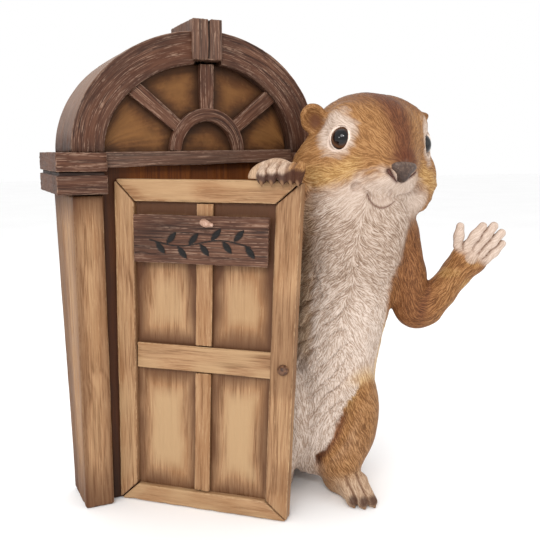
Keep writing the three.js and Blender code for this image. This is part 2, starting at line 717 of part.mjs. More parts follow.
const noseCentre = vec(0, -MUZZLE_LENGTH * 0.96, NOSE_RISE - MUZZLE_DROP);
const bridgeEnd = noseCentre.clone().add(vec(0, NOSE_DEPTH * 1.67, NOSE_RISE));
function skull(grow = 0) {
  const brow = vec(0, -SKULL_HALF_LENGTH * 0.43, SKULL_RISE * 2);
  const bridge = [brow, brow.clone().lerp(bridgeEnd, 0.6), bridgeEnd];
  const bridgeRadii = [BRIDGE_RADIUS, BRIDGE_RADIUS * 0.82, BRIDGE_RADIUS * 0.65];
  const cheekPlace = (side) => vec(side * CHEEK_SPREAD, -CHEEK_HALF_LENGTH * 0.11, -CHEEK_DROP);
  return [
    ellipsoid(skullCentre, skullRadii, grow, 24, 14),
    ellipsoid(cheekPlace(-1), cheekRadii, grow),
    ellipsoid(cheekPlace(1), cheekRadii, grow),
    ellipsoid(muzzleCentre, muzzleRadii, grow),
    ellipsoid(chinCentre, chinRadii, grow),
    limb(bridge, bridgeRadii, grow, 10, 4),
  ];
}

// A place on the skull, turned from straight ahead and pitched up, and sunk below the surface.
function onSkull(side, turn, pitch, sink) {
  const level = Math.cos(degrees(pitch));
  const outward = vec(
    side * Math.sin(degrees(turn)) * level,
    -Math.cos(degrees(turn)) * level,
    Math.sin(degrees(pitch)),
  );
  const surface = 1 / outward.clone().divide(skullRadii).length();
  return outward.multiplyScalar(surface - sink).add(skullCentre);
}
const eyeCentre = (side) => onSkull(side, EYE_TURN, 2.5, EYE_SINK);

// Dowels that hold the head and the arms to the torso
const neckDowelEnds = [
  vec(neckX, neckY, TORSO_HEIGHT - DOWEL_HOLD),
  vec(neckX, neckY, TORSO_HEIGHT + DOWEL_HOLD),
];
const shoulderHeight = TORSO_HEIGHT - SHOULDER_DROP;
const rightShoulder = vec(chestX + CHEST_HALF_WIDTH, neckY * 0.45, shoulderHeight);
const leftShoulder = vec(chestX - CHEST_HALF_WIDTH, neckY, shoulderHeight - SHOULDER_DROP * 0.07);
const dowelRun = (shoulder, side) => [
  shoulder.clone().add(vec(-side * DOWEL_HOLD, 0, -UPPER_ARM_RADIUS * 0.35)),
  shoulder.clone().add(vec(side * UPPER_ARM_RADIUS * 0.5, 0, -UPPER_ARM_RADIUS * 0.35)),
];
const dowels = {
  neck_dowel: [neckDowelEnds, NECK_DOWEL_RADIUS],
  right_shoulder_dowel: [dowelRun(rightShoulder, 1), SHOULDER_DOWEL_RADIUS],
  left_shoulder_dowel: [dowelRun(leftShoulder, -1), SHOULDER_DOWEL_RADIUS],
};
const dowel = ([ends, radius]) => bar(ends[0], ends[1], radius, false, 14);
const dowelHole = ([ends, radius]) => {
  const run = ends[1].clone().sub(ends[0]).normalize().multiplyScalar(SEAT_GAP);
  return bar(ends[0].clone().sub(run), ends[1].clone().add(run), radius + SEAT_GAP, false, 14);
};
const dowelHoles = Object.values(dowels).map(dowelHole);
for (const [name, place] of Object.entries(dowels)) add(squirrel, name, dowel(place), DOWEL_STEEL);

const torsoSolid = without(solid(torso()), [...clearOfSurround(squirrel), ...dowelHoles]);
add(squirrel, "torso", torsoSolid, CREAM_FUR);
const torsoSpace = torso(SEAT_GAP);

const headCutters = [moved(torsoSpace, squirrel, head), ...clearOfSurround(head)];
headCutters.push(moved(dowelHoles[0], squirrel, head));
headCutters.push(ellipsoid(noseCentre, noseRadii, SEAT_GAP, 14, 10));
for (const side of [-1, 1]) {
  const reachOut = EYE_RADIUS + SEAT_GAP;
  headCutters.push(ellipsoid(eyeCentre(side), vec(reachOut, reachOut, reachOut), 0, 14, 10));
}
add(head, "head", without(joined(skull()), headCutters), BROWN_FUR);
const headSpace = skull(SEAT_GAP);
const headInBody = headSpace.map((shape) => moved(shape, head, squirrel));

add(head, "nose", ellipsoid(noseCentre, noseRadii, 0, 14, 10), NOSE_BROWN);
for (const [label, side] of [["left", -1], ["right", 1]]) {
  const eye = ellipsoid(eyeCentre(side), vec(EYE_RADIUS, EYE_RADIUS, EYE_RADIUS), 0, 14, 10);
  add(head, `eye_${label}`, eye, EYE_BLACK);
  const earCentre = onSkull(side, EAR_TURN, EAR_PITCH, EAR_SINK);
  const earRadii = vec(EAR_HALF_WIDTH, EAR_THICKNESS, EAR_HALF_HEIGHT);
  const bowlRadii = vec(EAR_HALF_WIDTH - EAR_RIM, EAR_THICKNESS, EAR_HALF_HEIGHT - EAR_RIM);
  const shell = ellipsoid(vec(0, 0, 0), earRadii);
  const bowl = ellipsoid(vec(0, -EAR_THICKNESS, 0), bowlRadii, 0, 14, 8);
  const place = new THREE.Matrix4().makeRotationZ(-side * 0.5);
  place.premultiply(new THREE.Matrix4().makeRotationY(side * 0.35));
  place.setPosition(earCentre);
  const ear = solid(shell.applyMatrix4(place)).subtract(solid(bowl.applyMatrix4(place)));
  add(head, `ear_${label}`, without(ear, headSpace), BROWN_FUR);
}

// Waving arm: upper arm down to the elbow, forearm up to an open hand
const elbow = rightShoulder.clone().add(vec(UPPER_ARM_LENGTH * 0.16, 0, -UPPER_ARM_LENGTH));
const wrist = elbow.clone().add(vec(FOREARM_REACH, -FOREARM_REACH * 0.3, FOREARM_RISE));
const armBulge = rightShoulder.clone().lerp(elbow, 0.46).add(vec(UPPER_ARM_LENGTH * 0.036, 0, 0));
const upperArm = limb(
  [rightShoulder, armBulge, elbow],
  [UPPER_ARM_RADIUS * 0.83, UPPER_ARM_RADIUS, ELBOW_RADIUS],
);
const forearm = limb(
  [elbow, elbow.clone().lerp(wrist, 0.52), wrist],
  [ELBOW_RADIUS, UPPER_ARM_RADIUS, WRIST_RADIUS],
);
const palm = wrist.clone().add(vec(WRIST_RADIUS * 0.4, -PALM_HALF_DEPTH * 0.46, WRIST_RADIUS * 0.5));
const palmRadii = vec(PALM_HALF_WIDTH, PALM_HALF_DEPTH, PALM_HALF_WIDTH * 0.85);
const palmShape = ellipsoid(vec(0, 0, 0), palmRadii);
palmShape.rotateY(degrees(42)).translate(palm.x, palm.y, palm.z);
// The root and the tip of each finger, from the palm's middle, in half palm widths.
const openFingers = [
  [vec(-0.69, -0.08, 0.31), vec(-0.77, -0.15, 1.38)],
  [vec(-0.31, -0.15, 0.62), vec(0.42, -0.23, 1.5)],
  [vec(0, -0.15, 0.46), vec(0.96, -0.23, 1.5)],
  [vec(0.31, -0.15, 0.19), vec(1.41, -0.23, 1.14)],
  [vec(0.54, -0.15, -0.23), vec(1.41, -0.23, 0.63)],
];
const fingerBars = openFingers.map((ends) => {
  const [from, to] = ends.map((end) => end.clone().multiplyScalar(PALM_HALF_WIDTH).add(palm));
  return bar(from, to, FINGER_RADIUS);
});
const wavingArm = joined([upperArm, forearm, palmShape, ...fingerBars]);
const wavingCuts = [torsoSpace, ...headInBody, dowelHoles[1]];
add(squirrel, "waving_arm", without(wavingArm, wavingCuts), BROWN_FUR);

// Gripping arm: behind the door and over its top, with the claws in front
const gripMiddle = doorWidth - GRIP_HALF_WIDTH * 1.14;
const onDoor = (x, y, z) => point(vec(x, y, DOOR_HEIGHT + z), door, squirrel);
const gripRise = GRIP_HALF_HEIGHT * 0.56;
const grippingPath = [
  leftShoulder,
  leftShoulder.clone().add(vec(-0.21, -0.2, 0.14).multiplyScalar(UPPER_ARM_LENGTH)),
  onDoor(gripMiddle + GRIP_HALF_WIDTH * 0.28, DOOR_THICKNESS * 2.2, -WRIST_RADIUS * 0.6),
  onDoor(gripMiddle, DOOR_THICKNESS, gripRise),
];
const grippingRadii = [UPPER_ARM_RADIUS * 0.91, UPPER_ARM_RADIUS, WRIST_RADIUS, GRIP_HALF_HEIGHT * 0.89];
const gripPlace = vec(gripMiddle, DOOR_THICKNESS * 0.4, DOOR_HEIGHT + gripRise);
const gripCentre = point(gripPlace, door, surround);
const gripShape = ellipsoid(vec(0, 0, 0), vec(GRIP_HALF_WIDTH, DOOR_THICKNESS, GRIP_HALF_HEIGHT));
gripShape.rotateZ(-degrees(DOOR_ANGLE)).translate(gripCentre.x, gripCentre.y, gripCentre.z);
const gripFingers = [-1.5, -0.5, 0.5, 1.5].map((place) => {
  const x = gripMiddle + place * FINGER_RADIUS * 2.2;
  const knuckle = onDoor(x, DOOR_THICKNESS * 0.2, gripRise * 1.4);
  const tip = onDoor(x, -FINGER_RADIUS - SEAT_GAP, FINGER_RADIUS - CLAW_LAP);
  return bar(knuckle, tip, FINGER_RADIUS);
});
const gripping = [limb(grippingPath, grippingRadii), moved(gripShape, surround, squirrel), ...gripFingers];
const grippingCuts = [torsoSpace, ...headInBody, clearOfDoor(squirrel), dowelHoles[2]];
add(squirrel, "gripping_arm", without(joined(gripping), grippingCuts), BROWN_FUR);

// Legs: a thigh against the torso, an ankle and a long foot flat on the floor
const thighRadii = vec(THIGH_HALF_WIDTH, THIGH_HALF_WIDTH, THIGH_HALF_HEIGHT);
for (const [label, hip] of [["left", hipX - HIP_SPREAD], ["right", hipX + HIP_SPREAD]]) {
  const toward = label === "left" ? -0.15 : 0.45;
  const hipY = -TORSO_HALF_DEPTH * 0.52;
  const heelHeight = ANKLE_HEIGHT * 0.28;
  const ankle = vec(hip - ANKLE_INSET, hipY - ANKLE_HEIGHT * 0.1, ANKLE_HEIGHT);
  const footEnd = ankle.clone().add(vec(FOOT_LENGTH * toward, -FOOT_LENGTH, 0));
  const heel = vec(ankle.x, hipY, heelHeight);
  const knee = vec(hip - ANKLE_INSET * 0.2, hipY, THIGH_HEIGHT - THIGH_HALF_HEIGHT / 2);
  const toes = [-1, 0, 1].map((place) => {
    const aside = place * TOE_RADIUS * 1.88;
    const back = Math.abs(place) * TOE_RADIUS * 0.6;
    const toeRoot = vec(heel.x + aside, heel.y - FOOT_LENGTH * 0.23, heelHeight);
    const toeEnd = vec(footEnd.x + aside, footEnd.y + back, TOE_RADIUS * 0.88);
    return bar(toeRoot, toeEnd, TOE_RADIUS);
  });
  const midFoot = heel.clone().lerp(footEnd, 0.5);
  const instep = [heel.clone().setZ(ANKLE_HEIGHT / 2), midFoot.setZ(ANKLE_HEIGHT / 3)];
  const shin = [knee, ankle, heel.clone().setZ(heelHeight * 2)];
  const leg = joined([
    ellipsoid(vec(hip - ANKLE_INSET * 0.1, hipY, THIGH_HEIGHT), thighRadii),
    limb(shin, [SHIN_RADIUS, ANKLE_RADIUS, ANKLE_RADIUS * 0.8], 0, 10, 4),
    limb(instep, [FOOT_HALF_WIDTH * 0.87, FOOT_HALF_WIDTH * 0.65], 0, 10, 3),
    ...toes,
  ]);
  add(squirrel, `${label}_leg`, without(leg, [torsoSpace, belowFloor]), BROWN_FUR);
}

// Tail, standing against the back
const tailPath = [
  vec(hipX + TAIL_RADIUS * 0.85, TORSO_HALF_DEPTH * 0.8, TAIL_HEIGHT * 0.15),
  vec(hipX + TAIL_RADIUS * 1.4, TORSO_HALF_DEPTH * 1.31, TAIL_HEIGHT * 0.3),
  vec(hipX + TAIL_RADIUS * 1.55, TORSO_HALF_DEPTH * 1.31, TAIL_HEIGHT * 0.6),
  vec(hipX + TAIL_RADIUS * 1.7, TORSO_HALF_DEPTH * 1.45, TAIL_HEIGHT * 0.85),
  vec(hipX + TAIL_RADIUS * 1.8, TORSO_HALF_DEPTH * 1.75, TAIL_HEIGHT * 0.97),
];
const tailRadii = [0.7, 0.93, 1, 0.93, 0.57].map((share) => share * TAIL_RADIUS);
const tail = solid(limb(tailPath, tailRadii, 0, 12, 12));
add(squirrel, "tail", without(tail, [torsoSpace, ...clearOfSurround(squirrel)]), BROWN_FUR);

// The origin is under the middle of the statue
const extent = new THREE.Box3().setFromObject(statue, true);
const middle = extent.getCenter(vec(0, 0, 0));
statue.position.set(-middle.x, -middle.y, -extent.min.z);
const root = new THREE.Group();
root.add(statue);

export default root;
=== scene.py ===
"""Looks of a squirrel leaning out from behind a small arched door: a painted cast garden statue.

Lengths are millimetres in the part's own frame, and become metres where a mesh is made.
"""

import math
from functools import partial, reduce
from itertools import product

import bpy
import numpy as np
import openvdb
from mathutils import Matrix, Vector


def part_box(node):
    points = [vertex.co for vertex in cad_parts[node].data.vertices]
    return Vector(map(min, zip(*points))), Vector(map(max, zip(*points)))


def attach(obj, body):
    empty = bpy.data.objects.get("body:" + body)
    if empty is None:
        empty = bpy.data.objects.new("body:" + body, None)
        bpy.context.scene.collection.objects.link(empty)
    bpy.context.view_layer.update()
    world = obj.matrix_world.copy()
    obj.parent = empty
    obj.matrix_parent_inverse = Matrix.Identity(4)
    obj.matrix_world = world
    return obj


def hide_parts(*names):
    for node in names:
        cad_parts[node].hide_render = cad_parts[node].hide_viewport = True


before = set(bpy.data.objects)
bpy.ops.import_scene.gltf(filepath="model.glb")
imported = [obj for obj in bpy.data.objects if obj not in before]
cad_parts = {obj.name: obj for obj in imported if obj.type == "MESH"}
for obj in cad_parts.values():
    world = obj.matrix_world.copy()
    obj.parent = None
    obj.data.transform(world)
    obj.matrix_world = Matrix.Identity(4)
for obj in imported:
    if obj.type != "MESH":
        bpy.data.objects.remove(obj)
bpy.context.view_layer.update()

MM = 0.001

# Sizes shared with the solids
DOOR_ANGLE = 41
DOOR_WIDTH = 124
DOOR_HEIGHT = 224.5
DOOR_THICKNESS = 10
STILE = 14
FREE_STILE = 16.4
FREE_INNER = DOOR_WIDTH - FREE_STILE
TOP_RAIL = 15
BOTTOM_RAIL = 13
MITRE_GAP = 0.3
SEAT_GAP = 0.3
SPRING_LINE = 242
CROWN_OFFSET = 4.5
ARCH_RISE = 79.5
ARCH_WIDTH = 22
CASE_HALF = 88
CASE_DEPTH = 72
FOOT_DEPTH = 38
DOORWAY_HALF = 68
PANEL_HALF = DOORWAY_HALF - SEAT_GAP
JAMB_TOP = 214
CAPITAL_TOP = 241.7
KEYSTONE_BACK = 47
KEYSTONE_HALF = 9.75
FAN_RISE = ARCH_RISE - ARCH_WIDTH - SEAT_GAP


# Axes of the groups
def turn_about(axis, degrees):
    """The matrix that turns points about one axis."""
    angle = math.radians(degrees)
    first, second = (axis + 1) % 3, (axis + 2) % 3
    matrix = np.eye(3)
    matrix[first, first] = matrix[second, second] = math.cos(angle)
    matrix[first, second] = -math.sin(angle)
    matrix[second, first] = math.sin(angle)
    return matrix


class Place:
    """Axes that are turned and shifted inside other axes."""

    def __init__(self, turn, origin, outer=None):
        self.turn = turn if outer is None else outer.turn @ turn
        self.origin = np.array(origin, float) if outer is None else outer.out(origin)

    def out(self, points):
        return np.asarray(points, float) @ self.turn.T + self.origin

    def into(self, points):
        return (np.asarray(points, float) - self.origin) @ self.turn


class DoorPlace(Place):
    """Axes of the door leaf, which grows a little wider and leans to the free side towards its top."""

    LEAN = 3.1
    FLARE = 6.3
    LEVEL = 0.36

    def shift(self, points):
        height = points[..., 2] / DOOR_HEIGHT - self.LEVEL
        moved = np.zeros_like(points)
        moved[..., 0] = (self.LEAN + self.FLARE * points[..., 0] / DOOR_WIDTH) * height
        return moved

    def out(self, points):
        points = np.asarray(points, float)
        return super().out(points + self.shift(points))

    def into(self, points):
        local = super().into(points)
        return local - self.shift(local - self.shift(local))


panel_low, panel_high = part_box("doorway_panel")
jamb_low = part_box("left_jamb")[0]
PLAIN = Place(np.eye(3), (0, 0, 0))
SURROUND = Place(np.eye(3), ((panel_low.x + panel_high.x) / 2 / MM, jamb_low.y / MM, 0))
DOOR = DoorPlace(turn_about(2, -DOOR_ANGLE), (-61.8, 6.5, 0), SURROUND)
SQUIRREL = Place(turn_about(2, -24), (96, -32, 0), SURROUND)
HEAD_IN_BODY = Place(turn_about(2, 26) @ turn_about(1, 4.4), (8, -12, 240))
HEAD = Place(HEAD_IN_BODY.turn, HEAD_IN_BODY.origin, SQUIRREL)
CAMERA_AT = SURROUND.out((-161.5, -474.5, 241.2))
CAMERA_TILT = 9.2


# Points, noise and soft steps
def stacked(*columns):
    """Points from their separate coordinates; one number stands for a whole column."""
    return np.stack(np.broadcast_arrays(*columns), axis=1)


def unit(vectors):
    """The same directions, one unit long."""
    return vectors / np.maximum(np.linalg.norm(vectors, axis=-1, keepdims=True), 1e-9)


def oval(points, centre, radii):
    """Distances from a centre, counted in radii."""
    return np.linalg.norm((points - centre) / radii, axis=1)


def lattice(corners, seed):
    """A fixed pseudo-random value from -1 to 1 for each whole-numbered place."""
    whole = corners.astype(np.int64)
    mixed = whole[:, 0] * 73856093 ^ whole[:, 1] * 19349663 ^ whole[:, 2] * 83492791
    mixed = (mixed ^ (seed * 40503)) & 0x7FFFFFFF
    mixed = ((mixed ^ (mixed >> 13)) * 1274126177) & 0x7FFFFFFF
    mixed = ((mixed ^ (mixed >> 15)) * 668265263) & 0x7FFFFFFF
    return ((mixed ^ (mixed >> 16)) & 0xFFFF) / 32767.5 - 1


def noise(points, seed):
    """Smooth noise from -1 to 1 with features one unit wide."""
    base = np.floor(points)
    part = points - base
    weight = part**3 * (part * (part * 6 - 15) + 10)
    total = np.zeros(len(points))
    for corner in product((0, 1), repeat=3):
        near = np.where(corner, weight, 1 - weight)
        total += near.prod(axis=1) * lattice(base + np.array(corner), seed)
    return total


def rise(value, low, high):
    """0 below low, 1 above high, and a smooth step between them."""
    share = np.clip((value - low) / (high - low), 0, 1)
    return share * share * (3 - 2 * share)


def fall(value, low, high):
    """1 below low, 0 above high, and a smooth step between them."""
    return rise(-value, -high, -low)


def band(value, inner, outer):
    """1 within inner of nought on either side, and 0 beyond outer."""
    return fall(np.abs(value), inner, outer)


# Meshes
def make_piece(name, points, faces, material, nodes, slot, values=None):
    """A shown piece from points in the part's frame, with values kept on its points for the material."""
    mesh = bpy.data.meshes.new(name)
    mesh.from_pydata((points * MM).astype(np.float32), [], faces, shade_flat=False)
    for label, value in (values or {}).items():
        kind, key = ("FLOAT", "value") if value.ndim == 1 else ("FLOAT_VECTOR", "vector")
        attribute = mesh.attributes.new(label, kind, "POINT")
        attribute.data.foreach_set(key, value.astype(np.float32).ravel())
    mesh.materials.append(material)
    mesh.validate()
    mesh.update()
    piece = bpy.data.objects.new(name, mesh)
    bpy.context.scene.collection.objects.link(piece)
    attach(piece, "root")
    if nodes:
        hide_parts(*nodes)


def point_normals(points, faces):
    """Outward directions at the points of a mesh of four-sided faces."""
    corners = points[faces]
    facing = np.cross(corners[:, 2] - corners[:, 0], corners[:, 3] - corners[:, 1])
    total = np.zeros_like(points)
    for corner, axis in product(range(4), range(3)):
        total[:, axis] += np.bincount(faces[:, corner], facing[:, axis], len(points))
    return unit(total)


def turned_outward(points, faces):
    """The same four-sided faces, reversed if together they enclose a negative volume."""
    a, b, c, d = (points[faces[:, corner]] for corner in range(4))
    volume = (a * (np.cross(b, c) + np.cross(c, d))).sum()
    return faces if volume > 0 else faces[:, ::-1]


# Materials
def linear(colour):
    """A colour given as it looks on screen, 0 to 255, in the linear form that shaders take."""
    parts = np.array(colour) / 255
    return (*np.where(parts <= 0.04045, parts / 12.92, ((parts + 0.055) / 1.055) ** 2.4), 1)


class Paint:
    """A material and short calls for the nodes it is made of. Colours are given as they look on screen."""

    def __init__(self, name, **constants):
        self.material = bpy.data.materials.new(name)
        self.material.use_nodes = True
        self.nodes = self.material.node_tree.nodes
        self.links = self.material.node_tree.links
        self.shader = self.nodes["Principled BSDF"]
        for socket, value in constants.items():
            self.shader.inputs[socket.replace("_", " ")].default_value = value

    def feed(self, socket, value):
        if isinstance(value, bpy.types.NodeSocket):
            self.links.new(value, socket)
        else:
            socket.default_value = value

    def node(self, kind, inputs, **settings):
        made = self.nodes.new(kind)
        for setting, value in settings.items():
            setattr(made, setting, value)
        for socket, value in inputs.items():
            self.feed(made.inputs[socket], value)
        return made

    def attribute(self, name):
        return self.node("ShaderNodeAttribute", {}, attribute_name=name)

    def value(self, name):
        return self.attribute(name).outputs["Fac"]

    def place(self):
        return self.node("ShaderNodeTexCoord", {}).outputs["Object"]

    def vector_math(self, operation, inputs):
        return self.node("ShaderNodeVectorMath", inputs, operation=operation).outputs[0]

    def noise(self, vector, scale=1.0, detail=3.0):
        inputs = {"Vector": vector, "Scale": scale, "Detail": detail}
        return self.node("ShaderNodeTexNoise", inputs).outputs["Fac"]

    def math(self, operation, first, second):
        return self.node("ShaderNodeMath", {0: first, 1: second}, operation=operation).outputs[0]

    def plus(self, first, second):
        return self.math("ADD", first, second)

    def times(self, first, second):
        return self.math("MULTIPLY", first, second)

    def spread(self, value, low, high):
        """0 below low and 1 above high."""
        inputs = {"Value": value, "From Min": low, "From Max": high}
        return self.node("ShaderNodeMapRange", inputs, interpolation_type="SMOOTHSTEP").outputs[0]

    def mix(self, share, first, second):
        """The second colour laid over the first."""
        over = linear(second) if isinstance(second, tuple) else second
        return self.node("ShaderNodeMix", {0: share, 6: first, 7: over}, data_type="RGBA").outputs[2]

    def ramp(self, share, *stops):
        """Colours at places from 0 to 1, each stop a place and a colour."""
        made = self.node("ShaderNodeValToRGB", {"Fac": share})
        elements = made.color_ramp.elements
        while len(elements) < len(stops):
            elements.new(0.5)
        for element, (place, colour) in zip(elements, stops):
            element.position = place
            element.color = linear(colour)
        return made.outputs["Color"]

    def finish(self, colour, roughness, height=None, bump=0.3, depth=0.4):
        self.feed(self.shader.inputs["Base Color"], colour)
        self.feed(self.shader.inputs["Roughness"], roughness)
        if height is not None:
            inputs = {"Height": height, "Strength": bump, "Distance": depth * MM}
            made = self.node("ShaderNodeBump", inputs)
            self.links.new(made.outputs["Normal"], self.shader.inputs["Normal"])
        return self.material


def blotched_paint(name, grain, *stops, rough=0.4, vary=0.2, bump=0.3, depth=0.3, detail=3.0, **constants):
    """Paint in a few tones, blotched at the size of the grain."""
    paint = Paint(name, **constants)
    cloud = paint.noise(paint.place(), scale=1 / (grain * MM), detail=detail)
    roughness = paint.plus(rough, paint.times(cloud, vary)) if vary else rough
    return paint.finish(paint.ramp(cloud, *stops), roughness, cloud if bump else None, bump, depth)


def wood_paint(name, groove, body, ridge, patch, edge, shadow, pale,
               streak=(0.42, 24), brushed=0.6, smoky=0.4):
    """Painted wood grain: dark in the grooves, dry-brushed in thin lines and on the worn edges."""
    paint = Paint(name, Specular_IOR_Level=0.22)

    def grain(across, along, detail=2):
        """Noise that is finer across the grain than along it."""
        scaled = {0: paint.attribute("grain_at").outputs["Vector"], 1: (across, across, along)}
        return paint.noise(paint.vector_math("MULTIPLY", scaled), detail=detail)

    across, along = 1 / streak[0], 1 / streak[1]
    lines = grain(0.8 * across, 1.3 * along, 1)
    speck = grain(0.9, 0.3)
    tone = paint.plus(paint.times(grain(across, along), 0.68), paint.times(paint.value("relief"), 0.32))
    worn = paint.times(paint.value("wear"), paint.spread(speck, 0.4, 0.62))
    dry = paint.times(paint.spread(lines, 0.54, 0.66), paint.spread(speck, 0.3, 0.6))
    shade_and_pale = paint.value("shade")
    layers = [
        (paint.times(paint.spread(grain(0.05, 0.014), 0.42, 0.68), 0.6), patch),
        (paint.times(worn, 0.8), edge),
        (paint.times(dry, brushed), edge),
        (paint.times(paint.spread(grain(0.04, 0.022, 1), 0.48, 0.72), smoky), shadow),
        # Each board's shade values: painted shade above nought, a paler colour below it, in places painted
        # light
        (paint.math("MAXIMUM", shade_and_pale, 0.0), shadow),
        (paint.math("MAXIMUM", paint.times(shade_and_pale, -1.0), 0.0), pale),
        (paint.value("ink"), (22, 19, 18)),
    ]
    colour = paint.ramp(tone, (0.34, groove), (0.48, body), (0.64, ridge))
    for share, over in layers:
        colour = paint.mix(share, colour, over)
    return paint.finish(colour, paint.plus(0.42, paint.times(tone, 0.28)), tone, bump=0.35, depth=0.35)


# Woods: the slot and the paint of each
DARK_WOOD = "dark_wood", wood_paint(
    "dark_wood_paint",
    groove=(42, 25, 17),
    body=(75, 46, 33),
    ridge=(101, 69, 52),
    patch=(85, 49, 31),
    edge=(158, 128, 108),
    shadow=(34, 20, 15),
    pale=(153, 128, 112),
)
LIGHT_WOOD = "light_wood", wood_paint(
    "light_wood_paint",
    groove=(113, 78, 48),
    body=(151, 113, 80),
    ridge=(169, 132, 96),
    patch=(140, 98, 62),
    edge=(190, 156, 118),
    shadow=(84, 52, 31),
    pale=(174, 142, 105),
    streak=(0.4, 18),
    brushed=0.35,
    smoky=0.12,
)
RECESS_WOOD = "recess_brown", wood_paint(
    "recess_paint",
    groove=(84, 40, 8),
    body=(104, 53, 12),
    ridge=(118, 64, 18),
    patch=(94, 46, 10),
    edge=(124, 74, 30),
    shadow=(44, 22, 8),
    pale=(138, 84, 36),
    brushed=0.2,
    smoky=0.25,
)
FAN_WOOD = "fan_ochre", wood_paint(
    "fanlight_paint",
    groove=(85, 52, 24),
    body=(99, 62, 31),
    ridge=(112, 73, 38),
    patch=(88, 52, 22),
    edge=(121, 82, 44),
    shadow=(46, 24, 9),
    pale=(132, 90, 47),
    streak=(4, 4),
    brushed=0.3,
    smoky=0.25,
)

# Boards
GRAIN_WIDTH = 1.2
GRAIN_LENGTH = 46


def grid_lines(low, high, step, edge, extra):
    """Places along one side of a board: close together at its rounded edges and even between them."""
    count = max(2, round((high - low - 2 * edge) / step) + 1)
    inner = np.linspace(low + edge, high - edge, count)
    rounded = [low, low + 0.15 * edge, low + 0.5 * edge]
    return np.unique(np.concatenate([rounded, inner, [low + high - place for place in rounded], extra]))


def box_surface(lines):
    """Points and faces of a box that is ruled with the given lines along its three axes."""
    places, faces, start = [], [], 0
    for axis in range(3):
        first, second = (axis + 1) % 3, (axis + 2) % 3
        rows, columns = len(lines[first]), len(lines[second])
        index = np.arange(rows * columns).reshape(rows, columns)
        corners = [index[:-1, :-1], index[1:, :-1], index[1:, 1:], index[:-1, 1:]]
        quads = stacked(*[corner.ravel() for corner in corners])
        for end in (0, len(lines[axis]) - 1):
            place = np.zeros((rows * columns, 3), int)
            place[:, axis] = end
            place[:, first] = np.repeat(np.arange(rows), columns)
            place[:, second] = np.tile(np.arange(columns), rows)
            places.append(place)
            faces.append((quads if end else quads[:, ::-1]) + start)
            start += rows * columns
    unique, welded = np.unique(np.concatenate(places), axis=0, return_inverse=True)
    points = stacked(*[lines[axis][unique[:, axis]] for axis in range(3)])
    return points, welded.ravel()[np.concatenate(faces)]


def grain_relief(points, grain, seed):
    """Carved wood grain, from 0 in a groove to 1 on a ridge."""
    bent = points + 1.6 * noise(points / 26, seed)[:, None]
    stretch = np.full(3, 1 / GRAIN_WIDTH)
    stretch[grain] = 1 / GRAIN_LENGTH
    ridges = 0.62 * noise(bent * stretch, seed + 1) + 0.38 * noise(bent * stretch * 2.2, seed + 2)
    return np.clip(0.5 + 0.75 * ridges, 0, 1)


def board(name, low, high, grain, wood, place=SURROUND, form=None, shade=None, cut=None, steps=(0.6, 4.0),
          edge=1.1, depth=0.4, extra=None):
    """A rounded board with carved grain along one axis. form bends it, shade darkens it and cut carves it."""
    seed = sum(ord(letter) for letter in name)
    low, high = np.array(low, float), np.array(high, float)
    lines = []
    for axis in range(3):
        step, added = steps[axis == grain], (extra or {}).get(axis, ())
        lines.append(grid_lines(low[axis], high[axis], step, edge, added))
    points, faces = box_surface(lines)
    core = np.clip(points, low + edge, high - edge)
    outward = unit(points - core)
    relief = grain_relief(points, grain, seed)
    sway = 0.5 + 0.5 * noise(points / 34, seed + 5)
    chips = rise(noise(points / 5, seed + 6), 0.2, 0.8)
    wear = np.clip((1 - np.abs(outward).max(axis=1)) / 0.25, 0, 1)
    plain = np.zeros(len(points))
    carved, ink = cut(points, outward) if cut else (plain, plain)
    sunk = depth * (1 - relief) + 0.35 * sway + 0.7 * wear * chips + carved
    shaped = core + outward * edge - outward * sunk[:, None]
    values = {
        "relief": relief,
        "wear": wear,
        "shade": shade(points, outward) if shade else plain,
        "ink": ink,
        "grain_at": np.roll(points, 2 - grain, axis=1) + seed % 97,
    }
    if form:
        shaped = form(shaped)
    slot, paint = wood
    faces = turned_outward(shaped, faces)
    make_piece(f"{name}_carved", place.out(shaped), faces, paint, [name], slot, values)


# Jambs, capitals and lintel
JAMB_SPLAY = 2.2
JAMB_MIDDLE = (CASE_HALF + DOORWAY_HALF) / 2
JAMB_HALF = (CASE_HALF - DOORWAY_HALF) / 2
CAPITAL_SIDES = 65.7, 98.5
CAPITAL_FRONT = -6
CAPITAL_BACK = 78
CAPITAL_BASE = 214.3
CAPITAL_JOINT = 228.9
LOWER_TOP = 229.4
GROOVE_BASE = 226.85
GROOVE_DEPTH = 1.7
GROOVE_LINES = (226.7, 227)
LINTEL_BASE = 231.2
LINTEL_DEPTH = 22
PANEL_FRONT = 8
PANEL_BACK = 14
PANEL_TOP = 236


def jamb_shade(points, outward):
    """Pale down the middle of the faces; darker under the capital, at the foot and along the edges."""
    x, y, z = points.T
    under = rise(z, 190, JAMB_TOP)
    foot = fall(z, 0, 50)
    cloud = noise(points / np.array([14, 14, 45]), 3)
    beside = np.where(np.abs(outward[:, 1]) > 0.7, (np.abs(x) - JAMB_MIDDLE) / JAMB_HALF, (y - 24) / 28)
    middle = band(beside + 0.25 * cloud, 0.1, 0.75)
    edges = rise(np.abs(beside), 0.62, 1.0)
    dark = 0.34 + 0.4 * under + 0.4 * foot + 0.3 * edges + 0.12 * cloud
    return dark - 0.5 * middle * (1 - under) * (1 - foot)


def jamb_form(points):
    """Leans the back of a jamb in towards its foot and splays its outer side towards the back."""
    x, y, z = points.T
    y = y * (FOOT_DEPTH + (CASE_DEPTH - FOOT_DEPTH) * z / JAMB_TOP) / CASE_DEPTH
    outer = (np.abs(x) - DOORWAY_HALF) / (CASE_HALF - DOORWAY_HALF)
    return stacked(x + np.sign(x) * JAMB_SPLAY * outer * y / CASE_DEPTH, y, z)


